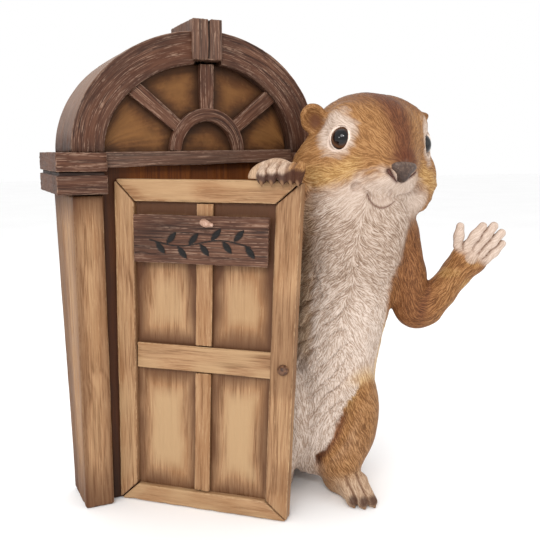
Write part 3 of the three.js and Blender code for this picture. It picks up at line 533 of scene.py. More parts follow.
def groove_shade(points, outward):
    """Dark in the groove under the upper block and at the foot of the lower one."""
    z = points[:, 2]
    return 0.85 * rise(z, 226.6, 227.1) + 0.25 * fall(z, 214.5, 217)


def waisted(points, middle):
    """Draws the top of the lower block in, which leaves the groove under the upper one."""
    drawn = np.where(points[:, 2] > GROOVE_BASE, GROOVE_DEPTH, 0)[:, None]
    return points - np.sign(points - middle) * drawn * (1, 1, 0)


SIDES = {"left": -1, "right": 1}
for label, side in SIDES.items():
    low, high = sorted((side * DOORWAY_HALF, side * CASE_HALF))
    board(f"{label}_jamb", (low, 0, 0), (high, CASE_DEPTH, JAMB_TOP), 2, LIGHT_WOOD,
          form=jamb_form, shade=jamb_shade, edge=1.8)
    low, high = sorted(side * aside for aside in CAPITAL_SIDES)
    board(f"{label}_capital_lower", (low, CAPITAL_FRONT, CAPITAL_BASE), (high, CAPITAL_BACK, LOWER_TOP),
          0, DARK_WOOD, form=partial(waisted, middle=((low + high) / 2, CASE_DEPTH / 2, 0)),
          shade=groove_shade, extra={2: GROOVE_LINES})
    board(f"{label}_capital_upper", (low, CAPITAL_FRONT, CAPITAL_JOINT), (high, CAPITAL_BACK, CAPITAL_TOP),
          0, DARK_WOOD)


def paler(points, outward):
    """A little paler all over."""
    return np.full(len(points), -0.1)


def lintel_form(points):
    """Raises the right end of the lintel, its underside more than its top."""
    x, y, z = points.T
    share = (x + PANEL_HALF) / (2 * PANEL_HALF)
    return stacked(x, y, z + share * (3.4 - 0.12 * (z - LINTEL_BASE)))


board("lintel", (-PANEL_HALF, 0, LINTEL_BASE), (PANEL_HALF, LINTEL_DEPTH, CAPITAL_TOP), 0, DARK_WOOD,
      form=lintel_form, shade=paler)


def recess_shade(points, outward):
    """Darker towards the jambs and at the foot."""
    return 0.75 * rise(np.abs(points[:, 0]), 40, DOORWAY_HALF) + 0.25 * fall(points[:, 2], 0, 60)


board("doorway_panel", (-PANEL_HALF, PANEL_FRONT, 0), (PANEL_HALF, PANEL_BACK, PANEL_TOP), 2, RECESS_WOOD,
      shade=recess_shade, steps=(1.2, 5))

# Arch, keystone and fanlight
ARCH_LENGTH = 128
ARCH_SUNK = 1.0
KEYSTONE_OVERLAP = 1.5
RIM = 1.5
FAN_HALF = 65.6
FAN_FRONT = 9
FAN_BACK = 15
FAN_BAR_BACK = 8.7
REAR_HEIGHT = SPRING_LINE + FAN_RISE
REAR_THICKNESS = 6
HUB_FRONT = 2
HUB_WIDTH = 8.8
HUB_INNER = 18.2
HUB_MIDDLE = HUB_INNER + HUB_WIDTH / 2
HUB_LENGTH = 70
HUB_STRETCH = 1.09
SPOKE_FRONT = 2.5
SPOKE_START = 26
SPOKE_HALF = 4.8
SPOKE_ANGLES = {"left": 141, "centre": 90, "right": 39}


def arch_span(side):
    return CASE_HALF - side * CROWN_OFFSET


def fan_top(x):
    """Height of the curve that fits inside the arch."""
    aside = x - CROWN_OFFSET
    span = np.where(aside < 0, arch_span(-1), arch_span(1)) - ARCH_WIDTH - SEAT_GAP
    return SPRING_LINE + FAN_RISE * np.sqrt(np.clip(1 - (aside / span) ** 2, 0, 1))


def arched(points, side):
    """Bends a straight board, lying along its third axis, into one half of the arch."""
    x, y, z = points.T
    span = arch_span(side) - ARCH_WIDTH + x
    beside = np.where(y < KEYSTONE_BACK + SEAT_GAP / 2, KEYSTONE_HALF - KEYSTONE_OVERLAP, SEAT_GAP / 2)
    angle = z / ARCH_LENGTH * np.arccos(beside / span) - ARCH_SUNK / span
    height = (ARCH_RISE - ARCH_WIDTH + x) * np.sin(angle)
    return stacked(CROWN_OFFSET + side * span * np.cos(angle), y, SPRING_LINE + height)


def arch_shade(points, outward):
    """Painted shade towards the fanlight, darker at the foot, and painted light over the outer flank."""
    x, y, z = points.T
    # Painted light on the outer flank, more of it away from the foot
    flank = rise(outward[:, 0], 0.6, 0.95) * rise(z, -10, 60)
    return 0.4 * fall(x, -1, 7) + 0.3 * fall(z, 0, 14) - 0.6 * flank


for label, side in SIDES.items():
    board(f"arch_{label}", (0, 0, 0), (ARCH_WIDTH, CASE_DEPTH, ARCH_LENGTH), 2, DARK_WOOD,
          form=partial(arched, side=side), shade=arch_shade, steps=(0.7, 2.5),
          extra={1: (KEYSTONE_BACK, KEYSTONE_BACK + SEAT_GAP)})


def keystone_crack(points, outward):
    """A split down the front and over the top."""
    x, y, z = points.T
    wander = 0.7 * noise(stacked(z / 9, y / 9, 0), 8)
    deep = np.clip(1 - np.abs(x - CROWN_OFFSET - 0.3 - wander) / 1.1, 0, 1)
    open_side = np.maximum(rise(-outward[:, 1], 0.5, 0.8), rise(outward[:, 2], 0.5, 0.8)) * fall(y, 6, 22)
    return 2.2 * deep * open_side, 0.9 * rise(deep, 0.2, 0.7) * open_side


KEYSTONE_LOW = (CROWN_OFFSET - KEYSTONE_HALF - 2, -3, 301.7)
KEYSTONE_HIGH = (CROWN_OFFSET + KEYSTONE_HALF, KEYSTONE_BACK, 328.7)
board("keystone", KEYSTONE_LOW, KEYSTONE_HIGH, 2, DARK_WOOD,
      shade=paler, cut=keystone_crack, steps=(0.5, 2.0))


def fan_form(points):
    """Gives a board a top like the inside of the arch; its rim is let into the arch and the lintel."""
    x, y, z = points.T
    bottom = SPRING_LINE - RIM
    return stacked(x, y, bottom + z / FAN_RISE * (fan_top(x) + RIM - bottom))


def fan_shade(points, outward):
    """Dark round the arch, the spokes and the hub: airbrushed paint together with painted shade beside these
    raised parts.
    """
    shaped = fan_form(points)
    x, y, z = shaped.T
    aside, up = x - CROWN_OFFSET, z - SPRING_LINE
    from_hub = np.hypot(aside, up)
    edges = [fan_top(x) - z, np.abs(from_hub - HUB_MIDDLE) - HUB_WIDTH / 2, up + 2]
    for angle in map(math.radians, SPOKE_ANGLES.values()):
        beside = np.abs(aside * math.sin(angle) - up * math.cos(angle))
        outside = (from_hub > 24) & (aside * math.cos(angle) + up * math.sin(angle) > 0)
        edges.append(np.where(outside, beside, 99) - 4.5)
    near = np.minimum.reduce(edges) + 1.8 * noise(shaped / 9, 6)
    return 0.85 * fall(near, -1, 8) - 0.5 * rise(near, 5, 13)


board("fanlight_panel", (-FAN_HALF, FAN_FRONT, 0), (FAN_HALF, FAN_BACK, FAN_RISE), 0, FAN_WOOD,
      form=fan_form, shade=fan_shade, edge=0.6, depth=0.15, steps=(1.0, 1.2))


def rear_form(points):
    """Gives the rear board an arched top and leans it between the jambs."""
    x, y, z = points.T
    z = z / REAR_HEIGHT * np.maximum(fan_top(x), CAPITAL_TOP)
    return stacked(x, y - (CASE_DEPTH - FOOT_DEPTH) * np.clip(1 - z / CAPITAL_TOP, 0, 1), z)


board("rear_panel", (-PANEL_HALF, CASE_DEPTH - REAR_THICKNESS, 0), (PANEL_HALF, CASE_DEPTH, REAR_HEIGHT),
      2, LIGHT_WOOD, form=rear_form, steps=(1.0, 4.0))


def hub_form(points):
    """Bends a straight board into the half ring round the fanlight's middle."""
    x, y, z = points.T
    radius = HUB_INNER + x
    angle = math.pi * z / HUB_LENGTH
    height = HUB_STRETCH * radius * np.sin(angle)
    return stacked(CROWN_OFFSET - radius * np.cos(angle), y, SPRING_LINE + height)


board("fanlight_hub", (0, HUB_FRONT, 0), (HUB_WIDTH, FAN_BAR_BACK, HUB_LENGTH), 2, DARK_WOOD,
      form=hub_form, steps=(0.6, 2.0))


def spoke_form(points, across, up):
    """Turns an upright board about the middle of the hub and widens its outer end."""
    x, y, z = points.T
    beside = x * (1 + 0.004 * (z - 27))
    return stacked(CROWN_OFFSET + across * z + up * beside, y, SPRING_LINE + up * z - across * beside)


for label, angle in SPOKE_ANGLES.items():
    across, up = math.cos(math.radians(angle)), math.sin(math.radians(angle))
    outward_steps = np.linspace(30, 90, 400)
    inside = SPRING_LINE + up * outward_steps < fan_top(CROWN_OFFSET + across * outward_steps) - 1.2
    spoke_end = outward_steps[inside].max() + 2.6
    board(f"spoke_{label}", (-SPOKE_HALF, SPOKE_FRONT, SPOKE_START), (SPOKE_HALF, FAN_BAR_BACK, spoke_end),
          2, DARK_WOOD, form=partial(spoke_form, across=across, up=up), steps=(0.6, 2.5))

# Door leaf
RAIL_BASE = 97
RAIL_TOP = 115
RAIL_MIDDLE = (RAIL_BASE + RAIL_TOP) / 2
MUNTIN_MIDDLE = 62
MUNTIN_HALF = 5.75
MUNTIN_FRONT = 1.2
MUNTIN_ENDS = {"upper": (115.3, 209.2), "lower": (13.3, 96.7)}
BAR_BACK = 3.7
MID_RAIL_LOW = (14.3, 0.5, RAIL_BASE)
MID_RAIL_HIGH = (109.7, BAR_BACK, RAIL_TOP)
DOOR_PANEL_LOW = (11.5, 4, 10.5)
DOOR_PANEL_HIGH = (112.5, 8, 212)


def seat_on_panel(x, y, z):
    """Thins the hinge edge of the door to lie flat on the panel behind it."""
    slope = math.radians(DOOR_ANGLE)
    room = (1.2 + x * math.sin(slope)) / math.cos(slope)
    return stacked(x, y * np.clip(room / DOOR_THICKNESS, 0.05, 1), z)


def stile_form(points, inner, outer):
    """Mitres the ends of an upright."""
    x, y, z = points.T
    share = (x - outer) / (inner - outer)
    bottom = MITRE_GAP + share * BOTTOM_RAIL
    top = DOOR_HEIGHT - MITRE_GAP - share * TOP_RAIL
    return seat_on_panel(x, y, bottom + z / DOOR_HEIGHT * (top - bottom))


def rail_form(points, inner, outer):
    """Mitres the ends of a level rail."""
    x, y, z = points.T
    share = (z - outer) / (inner - outer)
    width = DOOR_WIDTH - share * (STILE + FREE_STILE)
    return seat_on_panel(share * STILE + x / DOOR_WIDTH * width, y, z)


def stile_shade(points, outward):
    """Dark lines in the mitres and a soft brown along the inner edges."""
    x, y, z = points.T
    blotch = 0.5 + 0.5 * noise(points / 24, 9)
    ends = np.maximum(fall(z, 0.3, 1.2), rise(z, DOOR_HEIGHT - 1.2, DOOR_HEIGHT - 0.3))
    inward = np.minimum(np.abs(x - STILE), np.abs(x - FREE_INNER))
    brown = 0.7 * ends + 0.35 * rise(blotch, 0.35, 0.9) + 0.3 * fall(inward, 0, 3)
    return brown - 0.3 * fall(blotch, 0, 0.45) - 0.25 * (x < STILE)


def rail_shade(points, outward):
    """Pale patches along a rail, brown at its two ends, and the lowest rail paler."""
    x, y, z = points.T
    cloud = noise(points / np.array([22, 9, 9]), 12)
    ends = fall(np.minimum(x, DOOR_WIDTH - x), 4, 22)
    patches = 0.2 * fall(cloud, -0.7, -0.1) - 0.5 * rise(cloud, -0.2, 0.6)
    return 0.2 * ends - 0.1 - 0.25 * fall(z, 12, 20) + patches


for name, inner, outer in (("door_stile_hinge", STILE, 0), ("door_stile_free", FREE_INNER, DOOR_WIDTH)):
    low, high = sorted((inner, outer))
    board(name, (low, 0, 0), (high, DOOR_THICKNESS, DOOR_HEIGHT), 2, LIGHT_WOOD, DOOR,
          form=partial(stile_form, inner=inner, outer=outer), shade=stile_shade, edge=1.7)
for name, inner, outer in (
    ("door_rail_bottom", BOTTOM_RAIL, 0),
    ("door_rail_top", DOOR_HEIGHT - TOP_RAIL, DOOR_HEIGHT),
):
    low, high = sorted((inner, outer))
    board(name, (0, 0, low), (DOOR_WIDTH, DOOR_THICKNESS, high), 0, LIGHT_WOOD, DOOR,
          form=partial(rail_form, inner=inner, outer=outer), shade=rail_shade, edge=1.7)


def panel_shade(points, outward):
    """Brown along the edges of the four fields, airbrushed paint together with painted shade by the frame,
    and the sign's painted shadow.
    """
    x, y, z = points.T
    across = np.minimum.reduce([x - STILE, FREE_INNER - x, np.abs(x - MUNTIN_MIDDLE) - MUNTIN_HALF])
    upright = np.minimum.reduce([z - BOTTOM_RAIL, DOOR_HEIGHT - TOP_RAIL - z, np.abs(z - RAIL_MIDDLE) - 9])
    near = np.minimum(across, upright * 0.7) + 2 * noise(points / 14, 4)
    # Painted shadow of the sign over the upper fields, fading out below it
    sign_shadow = rise(z, 150, 172)
    upper = z > RAIL_MIDDLE
    middle = rise(near, 6, 15) * (1 - 0.8 * sign_shadow)
    return 0.85 * fall(near, -0.5, 10) - (0.95 - 0.2 * upper) * middle + 0.42 * sign_shadow + 0.12 * upper


board("door_panel", DOOR_PANEL_LOW, DOOR_PANEL_HIGH, 2, LIGHT_WOOD, DOOR, shade=panel_shade)
board("door_mid_rail", MID_RAIL_LOW, MID_RAIL_HIGH, 0, LIGHT_WOOD, DOOR, shade=rail_shade)
for label, (bottom, top) in MUNTIN_ENDS.items():
    low = (MUNTIN_MIDDLE - MUNTIN_HALF, MUNTIN_FRONT, bottom)
    high = (MUNTIN_MIDDLE + MUNTIN_HALF, BAR_BACK, top)
    board(f"door_muntin_{label}", low, high, 2, LIGHT_WOOD, DOOR, edge=0.8)

# Sign: a plain board with a carved leaf sprig
SIGN_LOW = (14.5, -3.3, 170)
SIGN_HIGH = (105.5, 0.9, 202)
SIGN_MIDDLE = (60, 186)
SPRIG_HALF = 34
LEAF_LENGTH = 11
LEAF_HALF = 2.5
LEAF_LEAN = math.radians(50)
SPLITS = [(-46.5, -9.5, 22), (46.5, 7.5, 15)]


def stem_height(x):
    return 2.2 * np.sin(x / 9) - 2


def sprig(points, outward):
    """A wavy stem with leaves on both sides, cut into the front and inked, and a split at each end."""
    x, z = points[:, 0] - SIGN_MIDDLE[0], points[:, 2] - SIGN_MIDDLE[1]
    depth = np.where(np.abs(x) < SPRIG_HALF, np.clip(1 - np.abs(z - stem_height(x)) / 0.9, 0, 1), 0)
    for number, root in enumerate(np.arange(-30, 31, 7.5)):
        lean = LEAF_LEAN if number % 2 else -LEAF_LEAN
        aside, up = x - root, z - stem_height(root)
        along = aside * math.cos(lean) + up * math.sin(lean)
        beside = np.abs(up * math.cos(lean) - aside * math.sin(lean))
        half = LEAF_HALF * np.sin(math.pi * np.clip(along / LEAF_LENGTH, 0, 1)) ** 0.8
        depth = np.maximum(depth, np.clip((half - beside) / 0.8, 0, 1))
    split = np.zeros(len(points))
    for end, height, length in SPLITS:
        share = np.clip(1 - np.abs(x - end) / length, 0, 1)
        off_line = np.abs(z - height - 0.5 * np.sin(x / 2.3))
        split = np.maximum(split, np.clip(1 - off_line / (0.25 + 0.7 * share), 0, 1) * (share > 0))
    front = rise(-outward[:, 1], 0.7, 0.95)
    return (0.9 * depth + 0.8 * split) * front, np.maximum(rise(depth, 0.25, 0.75), 0.6 * split) * front


board("sign_board", SIGN_LOW, SIGN_HIGH, 0, DARK_WOOD, DOOR, cut=sprig, steps=(0.5, 0.6), edge=0.8)


# Squirrel: one continuous skin, grown from smooth shapes that run into each other
def smooth_min(first, second, blend):
    """The nearer of two distances, eased where they are about equal."""
    near = np.maximum(blend - np.abs(first - second), 0) / blend
    return np.minimum(first, second) - near * near * blend / 4


class Ball:
    """An ellipsoid with its own axes; one radius makes a sphere."""

    def __init__(self, centre, radii, turn=np.eye(3)):
        self.centre = np.array(centre, float)
        self.radii = np.full(3, radii, float)
        self.turn = turn
        self.low = self.centre - self.radii.max()
        self.high = self.centre + self.radii.max()

    def distance(self, points):
        local = (points - self.centre) @ self.turn / self.radii
        scaled = np.linalg.norm(local, axis=1)
        slope = np.linalg.norm(local / self.radii, axis=1)
        return scaled * (scaled - 1) / np.maximum(slope, 1e-6)


class Limb:
    """Round bars end to end, with a radius at each point of the path."""

    def __init__(self, path, radii, blend=3):
        self.path = np.array(path, float)
        self.radii = np.array(radii, float)
        self.blend = blend
        self.low = (self.path - self.radii[:, None]).min(axis=0)
        self.high = (self.path + self.radii[:, None]).max(axis=0)

    def bars(self, points):
        """For each bar, its run and the distance of the points from it."""
        for start, end, first, last in zip(self.path, self.path[1:], self.radii, self.radii[1:]):
            run = end - start
            share = np.clip((points - start) @ run / (run @ run), 0, 1)
            off = np.linalg.norm(points - start - share[:, None] * run, axis=1)
            yield run, off - first - share * (last - first)

    def distance(self, points):
        distances = (near for run, near in self.bars(points))
        return reduce(lambda nearest, near: smooth_min(nearest, near, self.blend), distances)

    def direction(self, points):
        """The way along the nearest bars."""
        total = np.zeros_like(points)
        for run, near in self.bars(points):
            total += np.exp(-np.clip(near, -20, 60) / 5)[:, None] * unit(run)
        return total


class Block:
    """A box in the axes of a place."""

    def __init__(self, place, low, high):
        self.place = place
        self.middle = np.add(low, high) / 2
        self.half = np.subtract(high, low) / 2
        corners = place.out([np.where(upper, high, low) for upper in product((False, True), repeat=3)])
        self.low, self.high = corners.min(axis=0), corners.max(axis=0)

    def distance(self, points):
        off = np.abs(self.place.into(points) - self.middle) - self.half
        return np.linalg.norm(np.maximum(off, 0), axis=1) + np.minimum(off.max(axis=1), 0)


def smooth_path(knots, count):
    """Points of an even curve through the knots, each a row of numbers."""
    knots = np.array(knots, float)
    padded = np.concatenate([2 * knots[:1] - knots[1:2], knots, 2 * knots[-1:] - knots[-2:-1]])
    places = np.linspace(0, len(knots) - 1, count)
    first = np.minimum(places.astype(int), len(knots) - 2)
    t = (places - first)[:, None]
    a, b, c, d = (padded[first + shift] for shift in range(4))
    return 0.5 * (2 * b + (c - a) * t + (2 * a - 5 * b + 4 * c - d) * t**2 + (3 * b - a - 3 * c + d) * t**3)


class Trunk:
    """Level ovals, each with a height, a middle and two half widths, joined by an even skin."""

    def __init__(self, ovals):
        self.ovals = smooth_path(ovals, 120)
        self.bottom, self.top = self.ovals[[0, -1], 0]
        self.low = np.array([-60, -50, self.bottom])
        self.high = np.array([60, 40, self.top])

    def sized(self, points):
        """Middle and half widths at the height of each point."""
        return [np.interp(points[:, 2], self.ovals[:, 0], column) for column in self.ovals.T[1:]]

    def distance(self, points):
        x, y, half_width, half_depth = self.sized(points)
        across, ahead = (points[:, 0] - x) / half_width, (points[:, 1] - y) / half_depth
        scaled = np.hypot(across, ahead)
        slope = np.hypot(across / half_width, ahead / half_depth)
        side = scaled * (scaled - 1) / np.maximum(slope, 1e-6)
        ends = np.maximum(self.bottom - points[:, 2], points[:, 2] - self.top)
        return -smooth_min(-side, -ends, 5)


class Field:
    """Distances to a growing shape, kept on an even grid."""

    FAR = 50.0
    MARGIN = 4

    def __init__(self, low, high, step):
        self.step = step
        self.low = np.array(low, float)
        self.axes = [np.arange(start, end, step) for start, end in zip(low, high)]
        self.values = np.full([len(axis) for axis in self.axes], self.FAR, np.float32)

    def near(self, shape, blend):
        """The part of the grid round a shape, and the shape's distances there."""
        window = []
        for axis, low, high in zip(self.axes, shape.low - blend, shape.high + blend):
            window.append(slice(*np.searchsorted(axis, (low - self.MARGIN, high + self.MARGIN))))
        grids = np.meshgrid(*[axis[cells] for axis, cells in zip(self.axes, window)], indexing="ij")
        points = np.stack(grids, axis=-1)
        return tuple(window), shape.distance(points.reshape(-1, 3)).reshape(points.shape[:3])

    def add(self, shape, blend):
        window, distance = self.near(shape, blend)
        self.values[window] = smooth_min(self.values[window], distance, blend)

    def carve(self, shape, blend):
        window, distance = self.near(shape, blend)
        self.values[window] = -smooth_min(-self.values[window], distance, blend)

    def sample(self, points):
        """Distances at any points, from the eight grid places round each."""
        place = np.clip((points - self.low) / self.step, 0, np.array(self.values.shape) - 2.001)
        base = place.astype(int)
        part = place - base
        total = np.zeros(len(points))
        for corner in product((0, 1), repeat=3):
            weight = np.where(corner, part, 1 - part).prod(axis=1)
            total += weight * self.values[tuple((base + np.array(corner)).T)]
        return total

    def settle(self, points, sunk):
        """Points moved onto the surface, or to a depth below it."""
        steps = np.eye(3) * self.step
        for _ in range(12):
            uphill = stacked(*[self.sample(points + step) - self.sample(points - step) for step in steps])
            points = points - 0.7 * (self.sample(points) + sunk)[:, None] * unit(uphill)
        return points

    def surface(self):
        """Points and four-sided faces where the distance is nought, with the faces turned outward."""
        grid = openvdb.FloatGrid(self.FAR)
        grid.copyFromArray(self.values)
        points, faces = grid.convertToQuads(0.0)
        points = self.low + points.astype(float) * self.step
        return points, turned_outward(points, faces.astype(int))


def on_head(centre, radii, turn=np.eye(3)):
    """An ellipsoid given in the head's axes."""
    return Ball(HEAD_IN_BODY.out(centre), radii, HEAD_IN_BODY.turn @ turn)


def from_door(points):
    """Points of the door leaf in the squirrel's axes."""
    return SQUIRREL.into(DOOR.out(points))


# Trunk and head
TORSO_OVALS = [
    (9, -16, 0, 15, 13),
    (14.5, -16, 0, 24.5, 21),
    (26, -15, -1, 31.3, 26.7),
    (47, -14, -3, 34, 29),
    (86, -12.6, -4, 33.4, 29),
    (120, -8.2, -5, 34.8, 29),
    (150, -2.5, -6, 37, 29),
    (180, 1, -8, 38, 27),
    (201, 4, -9, 38, 26),
    (214, 8, -9, 25.5, 17.4),
]
trunk = Trunk(TORSO_OVALS)
throat = Limb([HEAD_IN_BODY.out((0, -14, -24)), (7, -15, 180)], (19, 23))
neck = Ball((-1, -13, 206), (38, 28, 31))
chest = Ball((1, -20, 188), (31, 20, 34))
jowl = Ball((-17, -27, 208), (20, 17, 20))
nose_bridge = Limb(HEAD_IN_BODY.out([(0, -18, 14), (0, -29.4, 2.6), (0, -37, -5)]), (17, 14, 10.5))
head_shapes = [
    (on_head((0, -1, 7), (38, 41, 34)), 6),
    (on_head((-30, -4, -12), (22.5, 26, 22)), 12),
    (on_head((30, -4, -12), (22.5, 26, 22)), 12),
    (on_head((0, -27, -11), (20, 22, 13), turn_about(0, -24)), 9),
    (on_head((-8, -35, -15), (10, 8, 7)), 5),
    (on_head((8, -35, -15), (10, 8, 7)), 5),
    (on_head((0, -15, -26), (14, 13, 10)), 6),
    (nose_bridge, 8),
    (on_head((25, -15, 19.5), 12), 6),
    (on_head((-24, -15, 19), 12), 6),
    (on_head((26.4, -4.4, 22.7), (16, 16, 13.5)), 6),
    (on_head((17.4, 0.4, 23.9), 16.5), 8),
    (on_head((-2.4, -24.5, -28.6), (8.5, 6.2, 5.5)), 3),
    (on_head((29, -9.5, -25.5), (17.5, 18, 15)), 10),
    (on_head((-24, -12, -24), (16, 16, 13)), 10),
]

# Eyes and ears: side -1 is on the left, seen from the front
EYE_RADIUS = 8.6
SOCKET_RADIUS = 8.9
LID_RADIUS = 10.0
EYE_PLACES = {-1: np.array([-28.9, -20.1, 7.4]), 1: np.array([28.9, -20.5, 8.6])}
EYE_TURNS = {-1: math.radians(56), 1: math.radians(34)}
EYE_TILT = math.radians(12)
LID_HALF = (6.5, 7.8)
EYE_PATCHES = {-1: (-3.6, 13.6, 14.8), 1: (-1, 7.5, 15)}
EAR_PLACES = {-1: np.array([-40.0, 1.0, 19.8]), 1: np.array([43.2, 0.1, 23.2])}
EAR_RADII = (9.1, 5.4, 10.4)
EAR_HOLLOW = (6.2, 5.5, 7.2)
EAR_TIP = (49.4, 0.8, 30.6)


def eye_axes(side):
    """Columns: out of the eye, along the lids and up; the tops of the eyes lean together."""
    outward = unit(np.array([side * math.sin(EYE_TURNS[side]), -math.cos(EYE_TURNS[side]), 0.05]))
    sideways = unit(np.cross([0, 0, 1], outward))
    upward = np.cross(outward, sideways)
    lean, upright = -side * math.sin(EYE_TILT), math.cos(EYE_TILT)
    return stacked(outward, upright * sideways - lean * upward, upright * upward + lean * sideways)


def ear_turn(side):
    return turn_about(1, side * 20) @ turn_about(2, side * 27)


# Arms and hands
upper_arm = Limb([(37, -8, 187), (41.2, -9, 158), (46.3, -6, 136)], (11.5, 12.3, 13))
elbow = Ball((49.4, -6, 134.3), (17.6, 13.5, 16.9))
FOREARM_PATH = [(56, -6.5, 135), (64.2, -8.5, 144.2), (74.5, -11.5, 159.4), (78.6, -14, 166.4)]
forearm = Limb(FOREARM_PATH, (13.3, 10.9, 10.5, 11))
PALM = np.array([84.0, -17.0, 172.0])
PALM_PAD = PALM + (-3.3, -5.2, -1.6)
PALM_TURN = turn_about(1, 42)
FINGERS = [
    ((-11.3, -1, 6.3), (-10.2, -2, 19.8), 3.1),
    ((-4.6, -2, 6.9), (4.8, -3, 19.9), 3.3),
    ((1.7, -2, 5), (12.3, -3, 20.1), 3.3),
    ((5.4, -2, 1.6), (17.7, -3, 15.4), 3.2),
    ((8.0, -2, -3.8), (18.5, -3, 8.2), 2.8),
]
fingers = []
for root, tip, radius in FINGERS:
    path = [PALM + root, PALM + 0.5 * np.add(root, tip), PALM + tip]
    fingers.append((Limb(path, (radius, radius, 0.9 * radius)), 0.5))
right_hand = [
    (Ball(PALM + (-1.5, 0, -1), (12.5, 6, 11), PALM_TURN), 5),
    (Ball(PALM_PAD, (4.7, 2.6, 4.4), PALM_TURN), 0.8),
    *fingers,
]

GRIP_X = 106.5
KNUCKLES = [(-6.6, -1.6), (-0.4, 0.2), (6.2, 0.4), (11.3, 0.6), (15.6, 1)]
grip_path = from_door([(111.5, 22, DOOR_HEIGHT - 6), (GRIP_X, 10, DOOR_HEIGHT + 5)])
left_arm = Limb([(-32, -9, 184), (-44, -20, 192), *grip_path], (11, 11.5, 10, 8))
grip_turn = SQUIRREL.turn.T @ DOOR.turn
grip_palm = Ball(from_door((GRIP_X - 1, 6.7, DOOR_HEIGHT + 0.5)), (18.3, 6.9, 12.3), grip_turn)
knuckles, claws = [], []
for aside, lift in KNUCKLES:
    x, z = GRIP_X + aside, DOOR_HEIGHT
    bent = [(x, 1.5, z + 7.5 + lift), (x, -2.4, z + 4.6 + lift), (x, -3.6, z + 0.2)]
    hooked = [(x, -5.4, z - 0.4), (x + 0.4, -5.8, z - 2.2), (x + 0.9, -4.6, z - 4.4)]
    knuckles.append((Limb(from_door(bent), (3.2, 3.3, 2.8)), 1.4))
    claws.append((Limb(from_door(hooked), (0.8, 0.8, 0.4), 0.4), 0.4))


# Legs and tail
def leg_shapes(hip, toward):
    """Thigh and shin, foot, toes and claws of one leg; the toes point toward the given side."""
    heel = np.array([hip - 12, -15, 5.0])
    end = np.array([hip - 11.5 + 26 * toward, -43, 0])
    leg = [
        (Ball((hip - 3.5, -18, 61), (17.6, 17, 37)), 3),
        (Limb([(hip - 8, -17, 44), (hip - 14, -18, 25), (hip - 13, -16, 11)], (17, 17, 12.5)), 5),
    ]
    foot = [(Limb([heel + (0, 0, 7), (heel + end) / 2 + (0, 0, 5)], (12, 9)), 4)]
    toes, toe_claws = [], []
    for place in (-1, 0, 1):
        aside = np.array([place * 6.9, abs(place) * 2, 0])
        root = heel + (0, -2, 12) + 0.8 * aside
        tip = end + aside + (0, 0, 3)
        onward = unit(tip - root)
        toes.append((Limb([root, (root + tip) / 2 + (0, 0, 3.4), tip + (0, 0, 0.8)], (4.4, 4.7, 3.9)), 1.0))
        toe_claws.append((Limb([tip + (0, 0, 0.4), tip + onward * 3.4 - (0, 0, 0.4)], (2.2, 1.1)), 0.8))
    return leg, foot + toes, toes, toe_claws


right_leg, right_foot, right_toes, right_claws = leg_shapes(8, 0.45)
left_leg, left_foot, left_toes, left_claws = leg_shapes(-39, -0.5)
TAIL_KNOTS = [(-2, 23, 22, 10), (6, 38, 45, 13), (8, 38, 90, 14), (10, 42, 127, 13), (11, 51, 145, 8)]
tail_curve = smooth_path(TAIL_KNOTS, 14)
tail = Limb(tail_curve[:, :3], tail_curve[:, 3])

# The whole body
regions = {
    "head": head_shapes,
    "torso": [(trunk, 6), (neck, 12), (throat, 14), (chest, 14), (jowl, 12)],
    "right_arm": [(upper_arm, 6), (elbow, 3), (forearm, 2.5)],
    "right_hand": right_hand,
    "left_arm": [(left_arm, 6)],
    "left_hand": [(grip_palm, 4), *knuckles],
    "right_leg": right_leg,
    "right_foot": right_foot,
    "left_leg": left_leg,
    "left_foot": left_foot,
    "tail": [(tail, 4)],
    "claws": claws + right_claws + left_claws,
}
BODY_LOW = (-78, -76, -2)
BODY_HIGH = (112, 70, 290)
VOXEL = 0.85
field = Field(BODY_LOW, BODY_HIGH, VOXEL)
for shapes in regions.values():
    for shape, blend in shapes:
        field.add(shape, blend)
for side in SIDES.values():
    turn, ear = ear_turn(side), EAR_PLACES[side]
    field.add(on_head(ear, EAR_RADII, turn), 2)
    field.carve(on_head(ear + turn @ (0, -5, 0), EAR_HOLLOW, turn), 2.5)
    axes, eye = eye_axes(side), EYE_PLACES[side]
    field.add(on_head(eye, LID_RADIUS), 3)
    field.carve(on_head(eye, SOCKET_RADIUS), 0.4)
    field.carve(on_head(eye + 8 * axes[:, 0], (16, *LID_HALF), axes), 1.0)
field.add(on_head(EAR_TIP, (2.6, 2.6, 2.4)), 2)

# Mouth and nostrils: curves drawn on a sheet through the mouth, square to the line of sight
FACE_SHEET = Place(turn_about(0, -CAMERA_TILT), HEAD_IN_BODY.out((0, -31, -27)))
EYE_POINT = SQUIRREL.into(CAMERA_AT)
LINE_POINTS = 30
LINE_SUNK = 0.35
LIP = [(-12.1, 1.7), (-11.1, -1.4), (-9, -4.5), (-6.6, -6.2)]
LIP += [(-3.5, -7.2), (-0.4, -6.8), (2.7, -5.3), (5.8, -2.8)]
LEFT_LIP = [(-20.1, 6.9), (-15.6, 4.8), (-12.1, 2.4), (-8.7, -0.7)]
LEFT_LIP += [(-5.6, -2.4), (-3.2, -3.1), (-1.1, -2.1), (1, -0.3)]
RIGHT_LIP = [(2.7, -1.4), (5.1, -1.4), (7.9, 0.3), (11.3, 1), (15.4, 2.4), (20.3, 4.8)]
DIMPLES = [(-19.6, 6.2), (20.6, 4.6)]
FACE_LINES = {
    "lip": (LIP, (0.7, 0.5), 0.8),
    "left_lip": (LEFT_LIP, (0.6, 0.5), 1.2),
    "right_lip": (RIGHT_LIP, (0.4, 0.5), 1.2),
    "philtrum": ([(2.7, 4), (2.7, 2), (2.7, -0.3)], (0.6, 0.5), 0.8),
    "left_nostril": ([(1.3, 16.6), (3.7, 13.4), (6.8, 9.3)], (1.4, 0.4), 0.8),
    "right_nostril": ([(18.9, 15.5), (14.1, 11.7), (9.9, 9.3)], (0.7, 0.5), 0.8),
}
